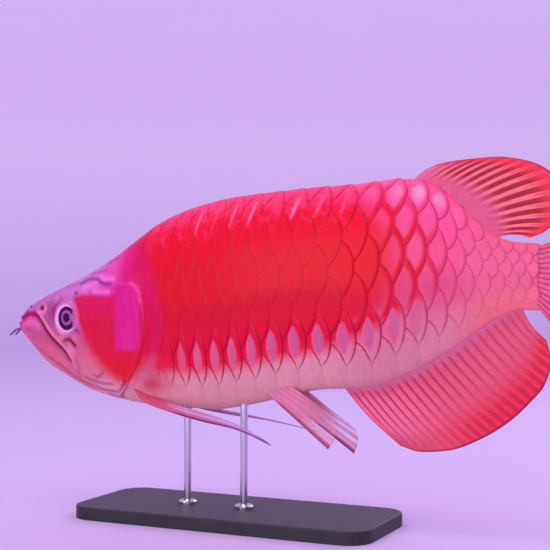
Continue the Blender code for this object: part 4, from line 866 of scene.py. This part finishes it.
# growth rings 0.8 mm apart, drawn that coarse to show
growth = add_node(tree, "ShaderNodeMath", {0: wander, 1: 7.8}, operation="MULTIPLY").outputs[0]
growth = add_node(tree, "ShaderNodeMath", {0: growth}, operation="SINE").outputs[0]
height = add_node(tree, "ShaderNodeMath", {0: growth, 1: 0.1, 2: pits}, operation="MULTIPLY_ADD").outputs[0]
relief_in = add_node(tree, "ShaderNodeBump", {"Strength": 0.16, "Distance": 0.0004, "Height": height})
tree.links.new(relief_in.outputs[0], shader.inputs["Normal"])
for name, rows, mirror in (("scales_back", [0], 1), ("scales_left", range(1, 7), 1), ("scales_right", range(1, 7), -1)):
    bm = bmesh.new()
    for row in rows:
        for column in range(3, len(COLUMNS) - 1):
            tip = column + (row % 2) / 2
            x = column_x(tip - 0.3)
            share = row_share(row, x)
            if x < shoulder(min(share, 1)) + 5 or column_x(tip) > TAIL_BASE_X + 3:
                continue
            if row == 0 and 168 < column_x(tip):
                continue
            cell = (column / len(COLUMNS), (row - rows[0]) / len(rows), 1 / len(COLUMNS), 1 / len(rows))
            add_scale(bm, tip, row, mirror, cell)
    scales = make_piece(name, bm, scale_finish)
    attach(scales, "root")

# The fins: a soft membrane held by bony rays, each one stem at the root that forks twice on its way
# out. Both faces and the rays are one sheet, closed round its margin.
RAY_RISE, MEMBRANE_HALF = 0.55, 0.22
DORSAL_ROOT, ANAL_ROOT, CAUDAL_ROOT = (176.0, 252.0), (110.5, 272.0), (255.0, 201.0)
DORSAL_MARGIN = [(198, 326.6), (216, 329.2), (234, 330.6), (249, 331.4), (264, 329.6), (280, 325.5),
                 (294, 317.5), (303, 307), (306, 296), (303.5, 284), (297, 273), (288, 265.5), (277, 261.5)]
ANAL_MARGIN = [(162, 78.5), (180, 74.6), (207, 77.5), (234, 88), (260, 105), (277, 121.5), (290, 138),
               (295, 157), (291, 175)]
CAUDAL_MARGIN = [(318, 263), (346, 261), (366, 248), (377, 227), (378, 205), (369, 183), (352, 168),
                 (332, 161), (313, 166)]
ROOT_SINK = 4.0
FIN_RED, FIN_BRIGHT, FIN_DARK, FIN_WINE = tint("#EE3656"), tint("#FA465C"), tint("#A60C2C"), tint("#CC2A4C")
FIN_BASE, FIN_PALE, RAY_PALE, FIN_ROOT = tint("#E0668E"), tint("#E47EAC"), tint("#FF8298"), tint("#D4709A")
FIN_ROSE, FIN_PINK, RAY_PLUM, HEM_PLUM = tint("#DA5876"), tint("#F07CA0"), tint("#BC4C7C"), tint("#8A1850")


def ray_crest(s, t, rays, stout=1.0):
    """How proud a ray stands there, 0 to 1: one stem at the root, then two branches, then four."""
    place = s * (rays - 1)
    off = np.abs(place - np.round(place))
    first = 0.13 * ramp(t, 0.32, 0.75)
    second = 0.06 * ramp(t, 0.62, 1.0)
    away = np.abs(np.abs(off - first) - second)
    return np.exp(-(away / (stout * mix(0.2, 0.06, ramp(t, 0.1, 0.9)))) ** 2)


def fin_piece(name, rays, per_ray, rows, middle, thick_root, tones, finish, stout=1.0):
    """A fin from its middle surface: middle(s, t) from first ray to last, and from root to margin."""
    count = (rays - 1) * per_ray
    u = np.linspace(0, 2, 2 * count + 1)[:, None]
    s = 1 - np.abs(1 - u) + 0 * np.zeros((1, rows + 1))
    t = np.linspace(0, 1, rows + 1)[None, :] ** 0.9 + 0 * s
    crest = ray_crest(s, t, rays, stout)
    fine = middle(s, t)
    step = 0.004
    one_way = middle(np.minimum(s + step, 1), t) - middle(np.maximum(s - step, 0), t)
    other_way = middle(s, np.minimum(t + step, 1)) - middle(s, np.maximum(t - step, 0))
    normal = np.cross(one_way, other_way)
    normal /= np.maximum(np.linalg.norm(normal, axis=2, keepdims=True), 1e-9)
    half = MEMBRANE_HALF + (thick_root - MEMBRANE_HALF) * np.maximum(0, 1 - t / 0.4) ** 2
    half = half + RAY_RISE * crest * ramp(t, 0.02, 0.2) * (1 - 0.62 * t)
    edge = np.minimum(ramp(s, 0, 0.35 / rays) * ramp(1 - s, 0, 0.35 / rays), ramp(1 - t, 0, 0.02))
    half = half * np.sqrt(edge) * (t > 0)
    place = fine + normal * (half * np.where(u < 1, 1, -1))[..., None]
    bm = bmesh.new()
    membrane, ray = tones(s, t, place[..., 0])
    mapped_grid(bm, place, {"membrane": membrane, "ray_tone": ray, "crest": crest, "outward": t,
                            "clear": 0.92 * ramp(s, 0.03, 0.17) * ramp(t, 0.3, 0.85)})
    bmesh.ops.remove_doubles(bm, verts=bm.verts, dist=0.003)
    fin = make_piece(name + "_web", bm, finish)
    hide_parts(name)
    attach(fin, "root")
    return fin


def median_fin(root, margin, bow):
    """The middle surface of a fin on the fish's midline, which waves gently to either side."""
    edge = smooth_path(margin)

    def middle(s, t):
        start = root(s)
        end = edge(s)
        ray = end - start
        long = np.linalg.norm(ray, axis=-1, keepdims=True)
        reach = t * (1 - 0.014 * (1 - ray_crest(s, t, 1)) * t)
        reach = reach - (1 - reach) * ROOT_SINK / long[..., 0]
        flat = start + ray * reach[..., None]
        flat = flat + np.stack([-ray[..., 1], ray[..., 0]], -1) / long * (bow * np.sin(math.pi * t))[..., None]
        away = 2.4 * np.maximum(reach, 0) ** 2 * np.sin(math.tau * flat[..., 0] / 120)
        return np.stack([flat[..., 0], away, flat[..., 1]], -1)

    return middle


# Finish: a wet membrane, dull and slightly see-through, over paler bony rays with joints a
# millimetre or so apart, drawn as fine cross lines.
fin_finish, tree, shader = new_finish("wet_fin_membrane", Roughness=0.42, Coat_Weight=0.08, Coat_Roughness=0.2,
                                      Specular_IOR_Level=0.2, Subsurface_Weight=0.2, Subsurface_Scale=0.002)
membrane_in, ray_in, crest_in, outward_in = [
    add_node(tree, "ShaderNodeAttribute", attribute_name=name).outputs[slot]
    for name, slot in (("membrane", "Color"), ("ray_tone", "Color"), ("crest", "Fac"), ("outward", "Fac"))]
spots_in = add_node(tree, "ShaderNodeTexCoord").outputs["Object"]
streaks = add_node(tree, "ShaderNodeTexNoise", {"Vector": spots_in, "Scale": 220.0, "Detail": 4.0}).outputs["Fac"]
on_ray = add_node(tree, "ShaderNodeMapRange", {0: crest_in, 1: 0.25, 2: 0.8}, interpolation_type="SMOOTHSTEP")
webbed = add_node(tree, "ShaderNodeMix", {0: on_ray.outputs[0], 6: membrane_in, 7: ray_in}, data_type="RGBA")
shade = add_node(tree, "ShaderNodeMapRange", {0: streaks, 3: 0.82, 4: 1.16}).outputs[0]
toned = add_node(tree, "ShaderNodeMix", {0: 1.0, 6: webbed.outputs[2], 7: shade}, data_type="RGBA",
                 blend_type="MULTIPLY")
tree.links.new(toned.outputs[2], shader.inputs["Base Color"])
# about fifty joints along each ray
joints = add_node(tree, "ShaderNodeMath", {0: outward_in, 1: 320.0}, operation="MULTIPLY").outputs[0]
joints = add_node(tree, "ShaderNodeMath", {0: joints}, operation="SINE").outputs[0]
jointed = add_node(tree, "ShaderNodeMath", {0: joints, 1: on_ray.outputs[0]}, operation="MULTIPLY").outputs[0]
relief_in = add_node(tree, "ShaderNodeBump", {"Strength": 0.3, "Distance": 0.0004, "Height": jointed})
tree.links.new(relief_in.outputs[0], shader.inputs["Normal"])


def dorsal_root(s):
    x = DORSAL_ROOT[0] + s * (DORSAL_ROOT[1] - DORSAL_ROOT[0])
    return np.stack([x, back(x)], -1)


def anal_root(s):
    x = ANAL_ROOT[0] + s * (ANAL_ROOT[1] - ANAL_ROOT[0])
    return np.stack([x, belly(x)], -1)


def caudal_root(s):
    return np.stack([TAIL_BASE_X + 0 * s, CAUDAL_ROOT[0] + s * (CAUDAL_ROOT[1] - CAUDAL_ROOT[0])], -1)


def hemmed(tone, t):
    """A tone that ends in a thin plum hem along the margin."""
    return blend(tone, HEM_PLUM, 0.75 * ramp(t, 0.972, 0.99))


def dorsal_tones(s, t, x):
    """Dusty rose at the root and the front, dark red between pale rays midway, bright red outside."""
    out = ramp(t, 0.7, 0.95) * ramp(s, 0.02, 0.25)
    membrane = blend(FIN_BASE, FIN_DARK, ramp(t, 0.14, 0.44) * ramp(s, 0.03, 0.26))
    membrane = blend(membrane, FIN_RED, out)
    ray = blend(blend(FIN_BASE, RAY_PALE, ramp(t, 0.15, 0.4)), FIN_BRIGHT, ramp(t, 0.6, 0.95))
    front = 0.8 * (1 - ramp(s, 0.0, 0.16)) * (1 - 0.8 * ramp(t, 0.6, 0.9))
    return hemmed(blend(membrane, FIN_PALE, front), t), hemmed(blend(ray, FIN_PALE, front), t)


def anal_tones(s, t, x):
    """Mauve rose at the root, then plum rays with pink between them, and red out toward the rear."""
    out = ramp(t, 0.45, 0.9) * ramp(s, 0.1, 0.5)
    membrane = blend(FIN_ROOT, FIN_ROSE, ramp(t, 0.03, 0.2))
    membrane = blend(membrane, FIN_PINK, (1 - 0.8 * ramp(s, 0.1, 0.5)) * ramp(t, 0.08, 0.24) * (1 - ramp(t, 0.6, 0.95)))
    membrane = blend(membrane, FIN_RED, out)
    root_line = blend(FIN_WINE, FIN_ROSE, 0.25 + 0.5 * ramp(s, 0.35, 0.9))
    ray = blend(blend(FIN_ROOT, root_line, ramp(t, 0.04, 0.12)), FIN_ROSE, ramp(t, 0.35, 0.62))
    ray = blend(ray, FIN_WINE, ramp(t, 0.6, 0.85) * ramp(s, 0.15, 0.45))
    return hemmed(membrane, t), hemmed(ray, t)


def caudal_tones(s, t, x):
    """Rose at the root, soon bright red, with darker rays."""
    membrane = blend(TAIL_PINK, FIN_RED, ramp(t, 0.1, 0.6))
    return hemmed(membrane, t), hemmed(blend(RAY_PLUM, FIN_WINE, ramp(t, 0.1, 0.5)), t)


dorsal = fin_piece("fin_dorsal", 17, 14, 50, median_fin(dorsal_root, DORSAL_MARGIN, 2.5), 1.8, dorsal_tones, fin_finish,
                   stout=1.7)
anal = fin_piece("fin_anal", 25, 12, 56, median_fin(anal_root, ANAL_MARGIN, -2.5), 1.8, anal_tones, fin_finish)
caudal = fin_piece("fin_caudal", 15, 14, 52, median_fin(caudal_root, CAUDAL_MARGIN, 0), 4.2, caudal_tones, fin_finish)

# The paired fins: long pectorals held out like outriggers behind the gill covers, and short
# pelvics under the belly, the right one hanging lower. Their first ray is stout and dark.
PECTORAL_ROOT, PELVIC_ROOT = [(-102, 0.875), (-88, 0.935)], [(34, 0.945), (60, 0.94)]
PECTORAL_LEAD = [(-85, -21, 108), (-58, -24, 100.8), (-17, -31, 94), (19, -38, 90), (64, -55, 79.5)]
PECTORAL_MARGIN = [(64, -55, 79.5), (45, -41, 85.5), (20, -27, 91.5), (-12, -17, 97), (-50, -13, 102)]
PELVIC_MARGIN = [(103, -24, 75.7), (107.5, -21, 84.5), (109.5, -18, 93), (106, -15, 101), (96, -12, 108)]
RIGHT_PELVIC_DROOP = np.array((5, -2, -10))
PAIRED_SINK = 0.03
LEAD_WINE, LEAD_VIOLET, WEB_LILAC = tint("#8A1E62"), tint("#7A40A4"), tint("#E6BCF8")
ROOT_ROSE, PELVIC_PINK, PELVIC_PALE = tint("#D85A84"), tint("#E08CAC"), tint("#F0A8C4")


def paired_fin(root, margin, lead, droop, mirror):
    """The middle surface of a fin that grows from the flank, its first ray bent through the lead."""
    edge = smooth_path(margin)
    roots = np.array([on_body(mix(root[0][0], root[1][0], k), mix(root[0][1], root[1][1], k), -1.0)
                      for k in np.linspace(0, 1, 9)])
    base = smooth_path(roots)
    first = smooth_path([roots[0]] + lead)

    def middle(s, t):
        long = t * (1 + PAIRED_SINK) - PAIRED_SINK
        start, end = base(s), edge(s)
        straight = roots[0] + (np.array(margin[0]) - roots[0]) * t[..., None]
        place = start + (end - start) * long[..., None]
        place = place + (first(t) - straight) * ((1 - s) ** 2)[..., None]
        place = place + droop * (t ** 1.5)[..., None]
        return place * (1, mirror, 1)

    return middle


def pectoral_tones(s, t, x):
    """Rose at the fleshy root, then clear lilac between the rays, behind a dark first ray."""
    membrane = blend(ROOT_ROSE, WEB_LILAC, ramp(t, 0.2, 0.5))
    ray = blend(ROOT_ROSE, FIN_PALE, ramp(t, 0.3, 0.7))
    lead = (1 - ramp(s, 0.03, 0.2)) * ramp(t, 0.2, 0.4)
    first = blend(LEAD_WINE, LEAD_VIOLET, ramp(t, 0.5, 0.9))
    return blend(membrane, first, lead), blend(ray, first, lead)


def pelvic_tones(s, t, x):
    """Dusty pink, paler outside, with a darker first ray."""
    lead = 0.8 * (1 - ramp(s, 0.03, 0.16)) * ramp(t, 0.1, 0.3)
    membrane = blend(PELVIC_PINK, PELVIC_PALE, ramp(t, 0.3, 0.9))
    ray = blend(membrane, ROOT_ROSE, 0.3)
    return blend(membrane, LEAD_WINE, lead), blend(ray, LEAD_WINE, lead)


# Finish: the same membrane, thin and clear between the rays away from its root.
clear_finish = fin_finish.copy()
clear_finish.name = "clear_wet_fin_membrane"
tree = clear_finish.node_tree
shader = tree.nodes["Principled BSDF"]
crest_in = add_node(tree, "ShaderNodeAttribute", attribute_name="crest").outputs["Fac"]
clear_in = add_node(tree, "ShaderNodeAttribute", attribute_name="clear").outputs["Fac"]
thin = add_node(tree, "ShaderNodeMapRange", {0: crest_in, 1: 0.1, 2: 0.7, 3: 1.0, 4: 0.55}).outputs[0]
seen = add_node(tree, "ShaderNodeMath", {0: clear_in, 1: thin}, operation="MULTIPLY").outputs[0]
seen = add_node(tree, "ShaderNodeMath", {0: 1.0, 1: seen}, operation="SUBTRACT").outputs[0]
tree.links.new(seen, shader.inputs["Alpha"])
for side, mirror, droop in (("left", 1, np.zeros(3)), ("right", -1, RIGHT_PELVIC_DROOP)):
    pectoral = fin_piece("fin_pectoral_" + side, 7, 14, 70,
                         paired_fin(PECTORAL_ROOT, PECTORAL_MARGIN, PECTORAL_LEAD, np.zeros(3), mirror), 1.8,
                         pectoral_tones, clear_finish)
    pelvic = fin_piece("fin_pelvic_" + side, 6, 14, 46,
                       paired_fin(PELVIC_ROOT, PELVIC_MARGIN, [PELVIC_MARGIN[0]], droop, mirror), 1.4,
                       pelvic_tones, clear_finish)

# The barbels: two soft feelers on the tip of the lower jaw, thick at the root and fine at the end.
BARBEL = [(-243, 175.6), (-246, 175.5), (-249.5, 174.4), (-253.5, 171.4), (-257.3, 168)]
BARBEL_RADIUS, BARBEL_SPREAD, BARBEL_PARTING = 1.35, 3.2, 0.12
BARBEL_WINE, BARBEL_VIOLET = tint("#B0246E"), tint("#5C2E86")
barbel_finish, tree, shader = new_finish("soft_wet_barbel", Roughness=0.35, Coat_Weight=0.4, Coat_Roughness=0.15,
                                         Subsurface_Weight=0.15, Subsurface_Scale=0.002)
tone_in = add_node(tree, "ShaderNodeAttribute", attribute_name="tone").outputs["Color"]
spots_in = add_node(tree, "ShaderNodeTexCoord").outputs["Object"]
# rings of skin half a millimetre apart
rings = add_node(tree, "ShaderNodeTexNoise", {"Vector": spots_in, "Scale": 2000.0}).outputs["Fac"]
relief_in = add_node(tree, "ShaderNodeBump", {"Strength": 0.3, "Distance": 0.0003, "Height": rings})
tree.links.new(tone_in, shader.inputs["Base Color"])
tree.links.new(relief_in.outputs[0], shader.inputs["Normal"])
for side, sign in (("left", -1), ("right", 1)):
    route = smooth_path([(x, sign * BARBEL_SPREAD * (1 + (i - 1) * BARBEL_PARTING), z)
                         for i, (x, z) in enumerate(BARBEL)])
    t = np.linspace(0, 1, 29)
    spine = route(t)
    forward = np.gradient(spine, axis=0)
    forward /= np.linalg.norm(forward, axis=1, keepdims=True)
    level = np.cross(forward, (0, 0, 1))
    level /= np.linalg.norm(level, axis=1, keepdims=True)
    upright = np.cross(level, forward)
    turn = np.linspace(0, math.tau, 17)[:, None, None]
    radius = (BARBEL_RADIUS * (1 - 0.5 * t) * np.sqrt(1 - ramp(t, 0.94, 1)) * (t > 0))[None, :, None]
    place = spine + radius * (np.cos(turn) * level + np.sin(turn) * upright)
    tone = blend(BARBEL_WINE, BARBEL_VIOLET, ramp(t, 0.15, 0.75))
    bm = bmesh.new()
    mapped_grid(bm, place, {"tone": np.broadcast_to(tone, place.shape)})
    bmesh.ops.remove_doubles(bm, verts=bm.verts, dist=0.002)
    barbel = make_piece("barbel_" + side + "_feeler", bm, barbel_finish)
    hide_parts("barbel_" + side)
    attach(barbel, "root")

# The stand: a lacquered board and two polished steel rods that reach up into the belly. They are
# the solids themselves, given their finishes.
board_finish, tree, shader = new_finish("black_satin_lacquer", Base_Color=srgb("#17161B"), Coat_Weight=0.12,
                                        Coat_Roughness=0.35)
spots_in = add_node(tree, "ShaderNodeTexCoord").outputs["Object"]
# a faint orange peel of 3 mm in the lacquer
peel = add_node(tree, "ShaderNodeTexNoise", {"Vector": spots_in, "Scale": 330.0, "Detail": 2.0}).outputs["Fac"]
rough = add_node(tree, "ShaderNodeMapRange", {0: peel, 3: 0.46, 4: 0.58}).outputs[0]
relief_in = add_node(tree, "ShaderNodeBump", {"Strength": 0.12, "Distance": 0.0004, "Height": peel})
tree.links.new(rough, shader.inputs["Roughness"])
tree.links.new(relief_in.outputs[0], shader.inputs["Normal"])
rod_finish, tree, shader = new_finish("polished_steel", Base_Color=srgb("#C9C9CE"), Metallic=1.0)
spots_in = add_node(tree, "ShaderNodeTexCoord").outputs["Object"]
stretch = add_node(tree, "ShaderNodeMapping", {"Vector": spots_in, "Scale": (1.0, 1.0, 0.04)}).outputs[0]
# polishing marks 0.3 mm wide, along the rod
marks = add_node(tree, "ShaderNodeTexNoise", {"Vector": stretch, "Scale": 3000.0}).outputs["Fac"]
rough = add_node(tree, "ShaderNodeMapRange", {0: marks, 3: 0.12, 4: 0.26}).outputs[0]
tree.links.new(rough, shader.inputs["Roughness"])
for name, finish in (("stand_base", board_finish), ("stand_rod_front", rod_finish), ("stand_rod_rear", rod_finish)):
    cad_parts[name].data.materials.clear()
    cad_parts[name].data.materials.append(finish)
